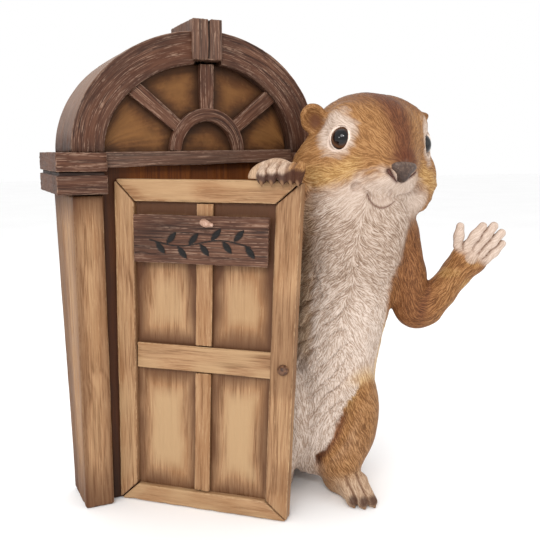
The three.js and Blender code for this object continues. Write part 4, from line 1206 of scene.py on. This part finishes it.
# Painted shade along each carved lip line: its strength and width
MOUTH_TONES = {"lip": (0.45, 1.2), "left_lip": (0.3, 1.5), "right_lip": (0.3, 1.5), "philtrum": (0.35, 0.9)}


def drawn_on_face(knots, count):
    """Points of an even curve drawn on the sheet, moved along the line of sight onto the face."""
    across, up = smooth_path(knots, count).T
    points = FACE_SHEET.out(stacked(across, 0, up))
    sight = unit(points - EYE_POINT)
    points -= 30 * sight
    for _ in range(70):
        points += np.clip(field.sample(points), -1, 1)[:, None] * sight
    return points


face_lines, sunk_lines = {}, {}
for label, (knots, thick, blend) in FACE_LINES.items():
    line = drawn_on_face(knots, LINE_POINTS)
    sunk_lines[label] = field.settle(line, LINE_SUNK)
    face_lines[label] = Limb(line, np.linspace(*thick, LINE_POINTS), 0.2)
    field.carve(face_lines[label], blend)
mouth_corners = drawn_on_face(DIMPLES, len(DIMPLES))
for corner in mouth_corners:
    field.carve(Ball(corner, 2.4), 3)

# Room for the surround, the right capital, the door and the floor
body_surround = Place(SQUIRREL.turn.T, SQUIRREL.into(SURROUND.origin))
body_door = DoorPlace(grip_turn, SQUIRREL.into(DOOR.origin))
case_side, case_back = CASE_HALF + SEAT_GAP, CASE_DEPTH + SEAT_GAP
capital_low = np.subtract((DOORWAY_HALF, CAPITAL_FRONT, CAPITAL_BASE), SEAT_GAP)
capital_high = np.add((CAPITAL_SIDES[1], CAPITAL_BACK, CAPITAL_TOP), SEAT_GAP)
door_high = np.add((DOOR_WIDTH, DOOR_THICKNESS, DOOR_HEIGHT), SEAT_GAP)
for shape in (
    Block(body_surround, (-case_side, -SEAT_GAP, -1), (case_side, case_back, 321)),
    Block(body_surround, capital_low, capital_high),
    Block(body_door, (-1, -SEAT_GAP, -1), door_high),
    Block(PLAIN, (-90, -90, -20), (130, 90, 0.05)),
):
    field.carve(shape, 0.6)
skin, skin_faces = field.surface()
facing = point_normals(skin, skin_faces)
forward = -facing[:, 1]
at_head = HEAD_IN_BODY.into(skin)
skin_x, skin_y, skin_z = skin.T
head_x, head_y, head_z = at_head.T


# Where the skin belongs
def off_shapes(shapes):
    """Distances of the skin from several shapes, a row for each."""
    return np.array([shape.distance(skin) for shape, blend in shapes])


def between(shapes):
    """1 in the grooves where the two nearest of several shapes are about as far, and 0 on each of them."""
    first, second = np.sort(off_shapes(shapes), axis=0)[:2]
    return rise(first - second, -1.2, -0.2) * fall(first, 1.2, 3.0)


off = {name: off_shapes(shapes).min(axis=0) for name, shapes in regions.items()}
closeness = {name: np.exp(-np.clip(off[name], -6, 40) / 2.2) for name in regions if name != "claws"}
total_closeness = sum(closeness.values())
part = {name: value / total_closeness for name, value in closeness.items()}
head, torso = part["head"], part["torso"]
feet = part["right_foot"] + part["left_foot"]
grooves = np.maximum.reduce([between(shapes) for shapes in (fingers, knuckles, right_toes, left_toes)])


# Fur: the way it lies, and locks raised along it
def along_skin(directions):
    """Directions laid flat on the skin, one unit long."""
    return unit(directions - facing * (directions * facing).sum(axis=1, keepdims=True))


middle_x, middle_y, half_width, half_depth = trunk.sized(skin)
round_body = np.arctan2((skin_x - middle_x) / half_width, -(skin_y - middle_y) / half_depth)
splay = np.radians(15 + 37 * rise(skin_z, 75, 165))
sideways = np.tanh(round_body / 0.12) * np.sin(splay)
foot_flow = np.array([0.2, -0.9, -0.3])
flows = {
    "torso": stacked(sideways * np.cos(round_body), sideways * np.sin(round_body), -np.cos(splay)),
    "head": skin - HEAD_IN_BODY.out((0, -50, -7)),
    "right_arm": upper_arm.direction(skin) + forearm.direction(skin),
    "right_hand": np.array([0.7, -0.1, 0.7]),
    "left_arm": left_arm.direction(skin),
    "left_hand": grip_turn @ (0, -0.8, -0.5),
    "right_leg": np.array([0.5, -0.1, -0.85]),
    "right_foot": foot_flow,
    "left_leg": np.array([0.3, -0.1, -0.9]),
    "left_foot": foot_flow,
    "tail": tail.direction(skin),
}
flow = along_skin(sum(part[name][:, None] * along_skin(way) for name, way in flows.items()))
sway = 0.35 * noise(skin / 7, 21) + 0.3 * noise(skin / 3.2, 22)
flow = along_skin(flow + sway[:, None] * np.cross(facing, flow))


def combed(width, length, seed):
    """Noise drawn out along the fur, from about -1 to 1."""
    steps = np.linspace(-0.5, 0.5, 9) * length
    drawn = sum(noise((skin + step * flow) / width, seed) for step in steps) / len(steps)
    return np.clip(drawn / (2.2 * drawn.std()), -1, 1)


locks = combed(1.9, 8, 31)
broad_locks = combed(4.2, 14, 32)

# Eyes, ears, mouth and nose on the skin
lid = patch = ear_cup_shade = np.zeros(len(skin))
for side in SIDES.values():
    outward, beside, above = ((at_head - EYE_PLACES[side]) @ eye_axes(side)).T
    ahead = rise(outward, -6, 0)
    lid_off = np.hypot(beside / LID_HALF[0], above / LID_HALF[1])
    lid = np.maximum(lid, ahead * fall(lid_off, 1.1, 1.2))
    middle, half_wide, half_tall = EYE_PATCHES[side]
    patch_off = np.hypot((beside - side * 0.15 * above - middle) / half_wide, (above - 3.2) / half_tall)
    patch = np.maximum(patch, 0.94 * ahead * fall(patch_off + 0.14 * locks, 0.68, 1.22))
    cup_x, cup_y, cup_z = ((at_head - EAR_PLACES[side]) @ ear_turn(side) - (0.8, -5, -1.6)).T
    # Painted shade inside the hollow of each ear
    hollow = rise(cup_y, -4, -2) * fall(cup_y, 6.5, 8)
    cup_off = np.hypot(cup_x / EAR_HOLLOW[0], cup_z / EAR_HOLLOW[2])
    ear_cup_shade = np.maximum(ear_cup_shade, 0.9 * hollow * fall(cup_off, 0.3, 1.05))
face_off = {label: line.distance(skin) for label, line in face_lines.items()}
above_nose = fall(oval(at_head, (0, -44, -4), (11, 9, 8)), 0.7, 1.25) * rise(head_z, -9, -5)
nostril_off = np.minimum(face_off["left_nostril"], face_off["right_nostril"])
nostril = np.maximum(0.5 * above_nose, 0.55 * fall(nostril_off, 0, 1.6))
# Painted shade in the carved dimples at the mouth's corners and along the lip lines
mouth = 0.5 * fall(np.min([oval(skin, corner, 1) for corner in mouth_corners], axis=0), 0.5, 5)
for label, (strength, width) in MOUTH_TONES.items():
    mouth = np.maximum(mouth, strength * fall(face_off[label], 0, width))
nose_off = oval(at_head, (0, -46, -9), 1)
lip_off = oval(at_head, (-2.5, -27, -29.5), (11, 10, 6))

# Carved fur
HIP_LINE = [(21, -24.6), (31, -23.4), (37, -17.9), (43, -14.3), (49, -11.3)]
HIP_LINE += [(58, -8.3), (67, -5.4), (75, 0), (82, 6)]
palm_front = part["right_hand"] * rise(forward, -0.1, 0.5)
claw = fall(off["claws"], -0.1, 0.7)
bare = np.maximum.reduce([
    lid,
    ear_cup_shade,
    nostril,
    claw,
    fall(nose_off, 8, 13),
    fall(lip_off, 0.9, 1.3),
    part["right_hand"],
    0.75 * part["left_hand"],
    0.7 * feet,
])
furry = (1 - bare) * (1 - 0.45 * head * fall(head_y, -34, -14))
down_body = np.abs(round_body) * 32 * np.sin(splay) - skin_z * np.cos(splay)
tier = (down_body / 21 + 0.55 * noise(skin / 13, 41) + 0.22 * locks) % 1
tier = (tier - 0.5) * 2 * torso * fall(skin_z, 170, 205)
coarse = (0.64 + 0.21 * torso + 0.26 * part["right_hand"]) * (1 - 0.75 * fall(lip_off, 0.8, 1.2))
coarse += 0.2 * sum(part[name] for name in ("right_arm", "left_arm", "right_leg", "left_leg", "tail"))
past_hip = skin_x - np.interp(skin_z, *np.array(HIP_LINE).T)
hip_front = (torso + part["right_leg"]) * rise(forward, 0, 0.3) * rise(skin_z, 22, 30) * fall(skin_z, 80, 90)
hip_step = 0.6 * band(past_hip + 2.5, 0, 3) - 1.2 * band(past_hip - 1, 0, 2.2)
calm = rise(oval(at_head, (-2, -26, -32), 1), 10, 34)
fold_place = (skin_z - 0.9 * skin_x) / 13 + 0.35 * noise(skin / 15, 43)
under_fold = torso * rise(fold_place % 1, 0.5, 1) * fall(skin_x, -12, 4)
under_fold *= rise(skin_z, 42, 60) * fall(skin_z, 140, 170)
ruff = head * rise(np.abs(head_x), 28, 40) * fall(head_z, -12, 0)
raised = furry * coarse * calm * (0.24 * locks + 0.16 * broad_locks + 0.38 * tier)
raised += 1.1 * ruff * np.maximum(broad_locks, 0) - 1.9 * under_fold + hip_front * hip_step
skin_shaped = skin + facing * (raised - 0.4 * furry - 0.7 * grooves)[:, None]
# Painted shade over the chest top and painted light over the lower belly, by height
level = rise(skin_z, 110, 185) - 0.5
# Relief tone: the carved locks and tiers, with painted shade under the folds and the height's light and shade
relief = 0.5 + calm * (0.22 * locks + 0.1 * tier * furry) - 0.5 * under_fold - 0.9 * torso * level

# Cream of the face, the front, the hands and the feet
CREAM_LINE = [(0, -6), (9, -8), (18, -12), (24, -14.5), (30, -18), (40, -22.5), (60, -27)]
across_face = np.abs(head_x)
cream_height = np.interp(across_face, *np.array(CREAM_LINE).T)
cream_face = rise(cream_height - head_z + 2.5 * locks, -4, 11) * fall(head_y, 0, 12)
cream_face *= 1 - rise(head_x + 1.5 * locks, 31, 39) * fall(head_z, -14, -8)
front_body = np.degrees(np.abs(round_body)) + 5 * locks
body_limit = 70 - 17 * rise(skin_z, 118, 150) * (round_body > 0)
by_door = torso * fall(skin_x + 2 * locks, -31, -23) * rise(skin_z, 88, 112)
cream_body = rise(body_limit - front_body, -8, 8) * (1 - 0.5 * by_door)
at_paw = body_door.into(skin) - (GRIP_X, 0, DOOR_HEIGHT)
paw_x, paw_z = at_paw[:, 0], at_paw[:, 2]
paw_right = rise(paw_x + locks, 6, 13)
paw_left = fall(paw_x + locks, -13, -8.5)
pad_off = oval(skin, PALM_PAD, (4.6, 4.6, 4.4))
pale_hand = np.maximum(rise(skin_z + 0.5 * skin_x, 208.5, 215), fall(pad_off, 0.9, 1.15))
cream = head * cream_face + torso * cream_body + palm_front * pale_hand + 0.5 * feet
cream += 0.65 * part["left_hand"] * (1 - paw_right - 0.6 * paw_left)
cream += part["left_leg"] * rise(skin_x, -44, -40)
by_hip = hip_front * band(past_hip, 8, 14)
cream += by_hip * (rise(1.2 * locks - past_hip, -1.5, 1) - cream)
cream = np.maximum(cream, patch)

# Dark stripes, a darker brown upper arm, and painted shade in the elbow and hip creases
stripe_half = np.interp(head_z, (-8, 5, 20, 34), (7.5, 8.5, 9.5, 12))
dark_coat_and_crease_shade = rise(stripe_half - across_face + 1.5 * locks, -7, 7) * rise(head_z, -9, -3) * fall(head_y, 0, 30)
dark_coat_and_crease_shade = np.maximum(dark_coat_and_crease_shade, 0.65 * rise(head_z, 24, 37)) * head
hip_crease_shade = hip_front * band(past_hip - 2.2, 0.5, 4.5)
elbow_crease_shade = band(upper_arm.distance(skin) - forearm.distance(skin), 0, 3.5) * rise(skin_z, 122, 132)
# Darker brown on the upper arm, and painted shade in the elbow crease
dark_coat_and_crease_shade += part["right_arm"] * (0.45 * fall(skin_x, 44, 62) + 0.55 * elbow_crease_shade)
# Painted shade in the hip crease
dark_coat_and_crease_shade += 0.8 * hip_crease_shade * fall(skin_z, 60, 78)
dark_coat_and_crease_shade = np.clip(dark_coat_and_crease_shade, 0, 1)

# Ochre of the flanks, the cheeks and the limbs
flank = band(front_body - body_limit - 6, 6, 24) * fall(skin_z, 112, 135)
blotch = rise(noise(skin / 8, 71), 0, 0.5) * rise(skin_x, 48, 60)
hip_edge = rise(4 * part["right_leg"] * torso, 0.3, 0.9) * rise(skin_z, 58, 76)
ochre = torso * flank + 0.18 * head + 0.6 * by_door + 0.5 * feet + 0.8 * hip_edge + 0.15 * part["right_leg"]
ochre += (0.1 * rise(skin_x, 55, 66) + 0.35 * blotch) * part["right_arm"]
ochre += (0.5 - 0.3 * paw_right) * part["left_hand"]
yellow_cheek = head * band(head_z - cream_height - 6, 2, 14) * rise(across_face, 16, 30)
ochre = np.clip(np.maximum(ochre, 0.7 * yellow_cheek), 0, 1) * (1 - dark_coat_and_crease_shade)

# Pale bare skin, dark ends of fingers and toes, and painted shade at the foot of the hip crease
pale_skin = np.maximum.reduce([
    lid,
    0.55 * palm_front * pale_hand,
    0.45 * head * cream_face * fall(head_y, -30, -16),
    0.2 * patch,
    0.2 * part["left_hand"] * (1 - paw_right),
])
finger_end = fall(paw_z + locks - 3 * paw_right, 2.5, 5.5) * rise(paw_z, -8, -6)
finger_end *= fall(off_shapes(knuckles).min(axis=0), 0.2, 1.2)
# Dark finger ends, and painted shade at the foot of the hip crease
dark_ends_and_crease_shade = np.maximum(0.92 * finger_end, 0.7 * hip_crease_shade * fall(skin_z, 28, 44))
for shape, blend in right_toes + left_toes:
    tip_off = oval(skin, shape.path[-1] + (0.6, -1.2, 1), (3.4, 4.6, 3.6))
    dark_ends_and_crease_shade = np.maximum(dark_ends_and_crease_shade, 0.85 * fall(tip_off, 0.6, 1.45))

# Paint of the fur: coats in the order they are laid, each in three tones, and then single colours
STRAND_WIDTH = 0.66
STRAND_STEPS = np.linspace(-1.7, 1.7, 9)
MIDDLE_TONE = 0.55
BROWN_COAT = [(0.1, (80, 47, 23)), (0.5, (130, 85, 49)), (0.9, (169, 122, 79))]
COATS = {
    # The dark stripe coat, also laid for painted shade in the elbow and hip creases
    "dark_coat_and_crease_shade": [(0.1, (60, 34, 21)), (0.5, (97, 57, 36)), (0.9, (130, 83, 54))],
    "ochre": [(0.1, (122, 85, 41)), (0.5, (179, 139, 84)), (0.9, (212, 180, 126))],
    "cream": [(0.08, (128, 104, 86)), (0.42, (172, 150, 133)), (0.85, (213, 196, 183))],
}
SPOTS = {
    "pale_skin": (206, 184, 168),
    # Painted shade in the grooves between fingers and between toes
    "groove": (112, 78, 56),
    # Painted shade inside the ears
    "ear_cup_shade": (92, 54, 34),
    # Painted shade round the mouth
    "mouth": (112, 82, 66),
    "nostril": (78, 36, 24),
    # Dark ends of fingers and toes, and painted shade at the foot of the hip crease
    "dark_ends_and_crease_shade": (58, 29, 20),
    "claw": (126, 94, 68),
}


def fur_paint():
    """Painted fur: fine strands drawn along the way it lies, over the colours of the coat."""
    paint = Paint("fur_paint", Specular_IOR_Level=0.15)
    lie = paint.attribute("flow").outputs["Vector"]
    drawn = []
    for step in STRAND_STEPS:
        shift = paint.vector_math("SCALE", {0: lie, 3: step * MM})
        moved = paint.vector_math("ADD", {0: paint.place(), 1: shift})
        drawn.append(paint.noise(moved, scale=1 / (STRAND_WIDTH * MM), detail=0))
    strand = paint.spread(paint.math("DIVIDE", reduce(paint.plus, drawn), len(drawn)), 0.4, 0.6)
    tone = paint.plus(paint.times(strand, 0.66), paint.times(paint.value("relief"), 0.34))
    away = paint.times(paint.math("SUBTRACT", tone, MIDDLE_TONE), paint.value("coarse"))
    tone = paint.plus(away, MIDDLE_TONE)
    colour = paint.ramp(tone, *BROWN_COAT)
    for name, tones in COATS.items():
        colour = paint.mix(paint.value(name), colour, paint.ramp(tone, *tones))
    for name, over in SPOTS.items():
        colour = paint.mix(paint.value(name), colour, over)
    height = paint.times(strand, paint.value("furry"))
    return paint.finish(colour, paint.plus(0.5, paint.times(tone, 0.2)), height, bump=0.5, depth=0.5)


SKIN_NODES = ["torso", "head", "ear_left", "ear_right"]
SKIN_NODES += ["waving_arm", "gripping_arm", "left_leg", "right_leg", "tail"]
make_piece("squirrel_skin", SQUIRREL.out(skin_shaped), skin_faces, fur_paint(), SKIN_NODES, "brown_fur", {
    "flow": flow @ SQUIRREL.turn.T,
    "relief": np.clip(relief, 0, 1),
    "furry": furry,
    "coarse": coarse,
    "dark_coat_and_crease_shade": dark_coat_and_crease_shade,
    "ochre": ochre,
    "cream": np.clip(cream, 0, 1),
    "pale_skin": pale_skin,
    "ear_cup_shade": ear_cup_shade,
    # Painted shade round the mouth
    "mouth": 0.75 * mouth,
    "nostril": nostril,
    # Painted shade in the grooves between fingers and between toes
    "groove": 0.85 * grooves,
    "dark_ends_and_crease_shade": dark_ends_and_crease_shade,
    "claw": claw,
})


# Eyes and lids
def around(count):
    """Even angles round a ring."""
    return np.linspace(0, 2 * math.pi, count, endpoint=False)


def ring_faces(rings, count, closed):
    """Faces from each ring of points to the next, and from the last to the first if the row is closed."""
    ring = np.arange(rings if closed else rings - 1)[:, None] * count
    after = (ring + count) % (rings * count)
    step = np.arange(count)
    beside = (step + 1) % count
    corners = (ring + step, after + step, after + beside, ring + beside)
    return stacked(*[corner.ravel() for corner in corners])


def lathe(profile, place, axes, count=40):
    """Points and faces of a solid turned about the first of the given axes; the profile runs tip to tip."""
    along, radius = np.repeat(profile, count, axis=0).T
    angles = np.tile(around(count), len(profile))
    points = stacked(along, radius * np.cos(angles), radius * np.sin(angles)) @ axes.T + place
    return points, turned_outward(points, ring_faces(len(profile), count, closed=False)[:, [0, 3, 2, 1]])


def hoop(line, thick, count=14):
    """Points and faces of a round bar along a closed line, with its own radius at each point."""
    onward = unit(np.roll(line, -1, axis=0) - np.roll(line, 1, axis=0))
    first = unit(np.cross(onward, line.mean(axis=0) - line))
    second = np.cross(onward, first)
    angles = around(count)[:, None]
    spokes = np.cos(angles) * first[:, None] + np.sin(angles) * second[:, None]
    points = (line[:, None] + thick[:, None, None] * spokes).reshape(-1, 3)
    return points, turned_outward(points, ring_faces(len(line), count, closed=True))


def eye_paint():
    """A wet black eye with a brown ring round the pupil."""
    paint = Paint("eye_paint", Specular_IOR_Level=0.35)
    cloud = paint.noise(paint.place(), scale=700)
    ring = paint.plus(paint.value("from_pupil"), paint.times(cloud, 0.12))
    stops = [(0.42, (10, 9, 9)), (0.56, (48, 30, 20)), (0.7, (96, 62, 38)), (0.84, (36, 24, 18))]
    return paint.finish(paint.ramp(ring, *stops), paint.plus(0.04, paint.times(cloud, 0.04)))


EYE_PAINT = eye_paint()
LID_PAINT = blotched_paint("lid_paint", 2, (0.3, (214, 190, 172)), (0.7, (236, 220, 206)),
                           rough=0.5, vary=0, bump=0.15, depth=0.2, Specular_IOR_Level=0.35)
bend = np.linspace(0.001, math.pi - 0.001, 36)
bulge = EYE_RADIUS * (1 + 0.04 * np.exp(-((bend / 0.55) ** 2)))
eye_profile = stacked(bulge * np.cos(bend), bulge * np.sin(bend))
for label, side in SIDES.items():
    axes, name = eye_axes(side), f"eye_{label}"
    points, faces = lathe(eye_profile, EYE_PLACES[side], axes)
    look = unit(axes @ (1, -0.15 * side, 0.12))
    off_look = np.arccos(np.clip(unit(points - EYE_PLACES[side]) @ look, -1, 1))
    values = {"from_pupil": off_look / 1.25}
    make_piece(f"{name}_glossy", HEAD.out(points), faces, EYE_PAINT, [name], "eye_black", values)

rim = around(56)
rim_across, rim_up = LID_HALF[0] * np.cos(rim), LID_HALF[1] * np.sin(rim)
rim_ahead = np.sqrt(EYE_RADIUS**2 - rim_across**2 - rim_up**2) + 0.5
rim_thick = 0.75 + 0.1 * np.sin(3 * rim) + 0.25 * np.maximum(np.sin(rim), 0)
for label, side in SIDES.items():
    line = stacked(rim_ahead, rim_across, rim_up) @ eye_axes(side).T + EYE_PLACES[side]
    points, faces = hoop(line, rim_thick)
    make_piece(f"eye_{label}_lid", HEAD.out(points), faces, LID_PAINT, (), "cream_fur")


# Nose, lines of the face, nail and knob
def grown(low, high, step, added, carved=()):
    """Points and faces of a few shapes that run into each other, with others carved away."""
    small = Field(low, high, step)
    for shape, blend in added:
        small.add(shape, blend)
    for shape, blend in carved:
        small.carve(shape, blend)
    return small.surface()


def pitted(points, faces, moved):
    """The points moved outward, each by its own length."""
    return points + point_normals(points, faces) * moved[:, None]


def nose_paint():
    """Satin grey-brown skin, finely pitted; the relief values also carry painted light on the top of the
    nose.
    """
    paint = Paint("nose_paint", Specular_IOR_Level=0.4)
    grain = paint.noise(paint.place(), scale=900)
    tone = paint.plus(paint.times(grain, 0.7), paint.times(paint.value("relief"), 0.3))
    colour = paint.ramp(tone, (0.3, (54, 38, 31)), (0.55, (80, 61, 51)), (0.75, (112, 92, 79)))
    return paint.finish(colour, paint.plus(0.38, paint.times(grain, 0.2)), grain, bump=0.2, depth=0.2)


nose_shapes = [(Ball((0, -45.5, -7.5), (9.5, 6.4, 4.9)), 1), (Ball((0, -45, -12.7), (3.8, 5.5, 4.8)), 4.5)]
nose_flat = [(Block(PLAIN, (-12, -60, -3.6), (12, -36, 4)), 3)]
points, faces = grown((-14, -62, -24), (14, -34, 6), 0.5, nose_shapes, nose_flat)
pits = noise(points / 1.3, 51)
points = pitted(points, faces, 0.12 * pits)
# Relief: the pits, with painted light on the top of the nose and painted shade towards its bottom
values = {"relief": np.clip(0.5 + 0.3 * pits + 0.09 * (points[:, 2] + 9), 0, 1)}
make_piece("nose_pitted", HEAD.out(points), faces, nose_paint(), ["nose"], "nose_brown", values)


def small_paint(name, grain, low, middle, high):
    """Paint for a small fitting in three tones."""
    return blotched_paint(name, grain, (0.3, low), (0.5, middle), (0.7, high), Specular_IOR_Level=0.4)


def face_line_piece(name, thickness, paint):
    """Fine painted lines that lie at the bottom of grooves in the face."""
    shapes = [Limb(sunk_lines[label], thick, 0.1) for label, thick in thickness.items()]
    low = np.min([shape.low for shape in shapes], axis=0) - 1
    high = np.max([shape.high for shape in shapes], axis=0) + 1
    points, faces = grown(low, high, 0.22, [(shape, 0.1) for shape in shapes])
    make_piece(name, SQUIRREL.out(points), faces, paint, (), "brown_fur")


mouth_paint = small_paint("mouth_line_paint", 1, (104, 78, 64), (126, 98, 82), (142, 114, 98))
face_line_piece("lip_line", {"lip": 0.48 * np.sin(np.linspace(0.7, math.pi - 0.4, LINE_POINTS))}, mouth_paint)
nostril_paint = small_paint("nostril_paint", 1, (54, 28, 20), (80, 44, 32), (104, 62, 48))
nostril_thickness = {
    "left_nostril": np.linspace(1.1, 0.3, LINE_POINTS),
    "right_nostril": np.linspace(0.5, 0.3, LINE_POINTS),
}
face_line_piece("nostril_lines", nostril_thickness, nostril_paint)

NAIL_HOLE = np.array([63.8, -2.6, 198.0])
nail_path = NAIL_HOLE + np.array([(0, 0.2, 0), (0.2, -3.4, -0.3), (2.6, -5.2, -0.8), (6.2, -5.0, -1.4)])
nail = Limb(nail_path, (1.5, 1.5, 1.5, 1.2))
points, faces = grown(NAIL_HOLE - (5, 12, 6), NAIL_HOLE + (12, 4, 5), 0.35, [(nail, 1)])
points = pitted(points, faces, 0.16 * noise(points / 1.6, 61))
nail_paint = small_paint("nail_paint", 1.6, (136, 98, 78), (172, 136, 116), (196, 164, 146))
make_piece("sign_nail_hammered", DOOR.out(points), faces, nail_paint, ["sign_nail"], "nail_tan")

KNOB_AT = np.array([117.0, 0.0, 104.4])
knob_shapes = [(Ball(KNOB_AT, (3.45, 4.2, 3.45)), 1), (Ball(KNOB_AT, (3.5, 0.9, 3.5)), 0.8)]
knob_dimple = Ball(KNOB_AT - (0, 5.2, 0), (1.5, 1.8, 1.5))
knob_seat = Block(PLAIN, KNOB_AT - (8, -0.05, 8), KNOB_AT + (8, 8, 8))
points, faces = grown(KNOB_AT - (6, 7, 6), KNOB_AT + (6, 3, 6), 0.3, knob_shapes,
                      [(knob_dimple, 0.8), (knob_seat, 0.2)])
points = pitted(points, faces, 0.1 * noise(points / 1.4, 62))
knob_paint = small_paint("knob_paint", 2, (50, 30, 20), (84, 54, 36), (120, 84, 58))
make_piece("door_knob_turned", DOOR.out(points), faces, knob_paint, ["door_knob"], "knob_brown")

# Dowels inside the casting, kept as solids
steel_paint = blotched_paint("dowel_paint", 1 / 0.9, (0.3, (140, 142, 146)), (0.7, (176, 178, 182)),
                             rough=0.3, bump=0, detail=2, Metallic=1.0)
for name in ("neck_dowel", "right_shoulder_dowel", "left_shoulder_dowel"):
    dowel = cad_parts[name].data
    dowel.materials.clear()
    dowel.materials.append(steel_paint)


# Camera, light and floor
def staged(name, data):
    """A named thing of the stage, put in the scene."""
    thing = bpy.data.objects.new(name, data)
    bpy.context.scene.collection.objects.link(thing)
    return thing


CAMERA_TURN = 24
camera_data = bpy.data.cameras.new("camera")
camera_data.sensor_width = 36
camera_data.lens = 48.33
camera = staged("camera", camera_data)
camera.location = Vector(CAMERA_AT) * MM
camera.rotation_euler = (math.radians(90 - CAMERA_TILT), 0, -math.radians(CAMERA_TURN))
bpy.context.scene.camera = camera

# Soft round lights: place, target, size and power
MIDDLE = (0, 0, 0.16)
FACE = (0.07, -0.08, 0.26)
LIGHTS = {
    "key_light": ((-0.75, -0.95, 0.95), MIDDLE, 0.6, 6.7),
    "fill_light": ((0.9, -0.8, 0.5), MIDDLE, 0.8, 1),
    "catch_light": ((-0.35, -0.9, 0.75), MIDDLE, 0.12, 1.5),
    "side_catch_light": ((-0.85, -0.47, 0.46), FACE, 0.2, 1.0),
    "top_light": ((0.0, 0.1, 1.2), MIDDLE, 0.8, 1),
    "rear_light": ((0.3, 1.1, 0.7), MIDDLE, 0.9, 2),
}
for name, (place, target, size, power) in LIGHTS.items():
    lamp = bpy.data.lights.new(name, "AREA")
    lamp.shape = "DISK"
    lamp.size = size
    lamp.energy = power
    light = staged(name, lamp)
    light.location = place
    light.rotation_euler = (Vector(target) - Vector(place)).to_track_quat("-Z", "Y").to_euler()

world = bpy.data.worlds.new("studio")
world.use_nodes = True
background = world.node_tree.nodes["Background"]
background.inputs["Color"].default_value = (1, 1, 1, 1)
background.inputs["Strength"].default_value = 1.0
bpy.context.scene.world = world
bpy.context.scene.view_settings.view_transform = "Standard"

FLOOR_HALF = 6
floor_paint = blotched_paint("floor_paint", 250, (0.3, (250, 250, 250)), (0.7, (253, 253, 253)),
                             rough=0.8, vary=0, bump=0)
floor_mesh = bpy.data.meshes.new("floor")
floor_corners = [(x * FLOOR_HALF, y * FLOOR_HALF, 0) for x, y in ((-1, -1), (1, -1), (1, 1), (-1, 1))]
floor_mesh.from_pydata(floor_corners, [], [(0, 1, 2, 3)])
floor_mesh.materials.append(floor_paint)
floor = staged("floor", floor_mesh)
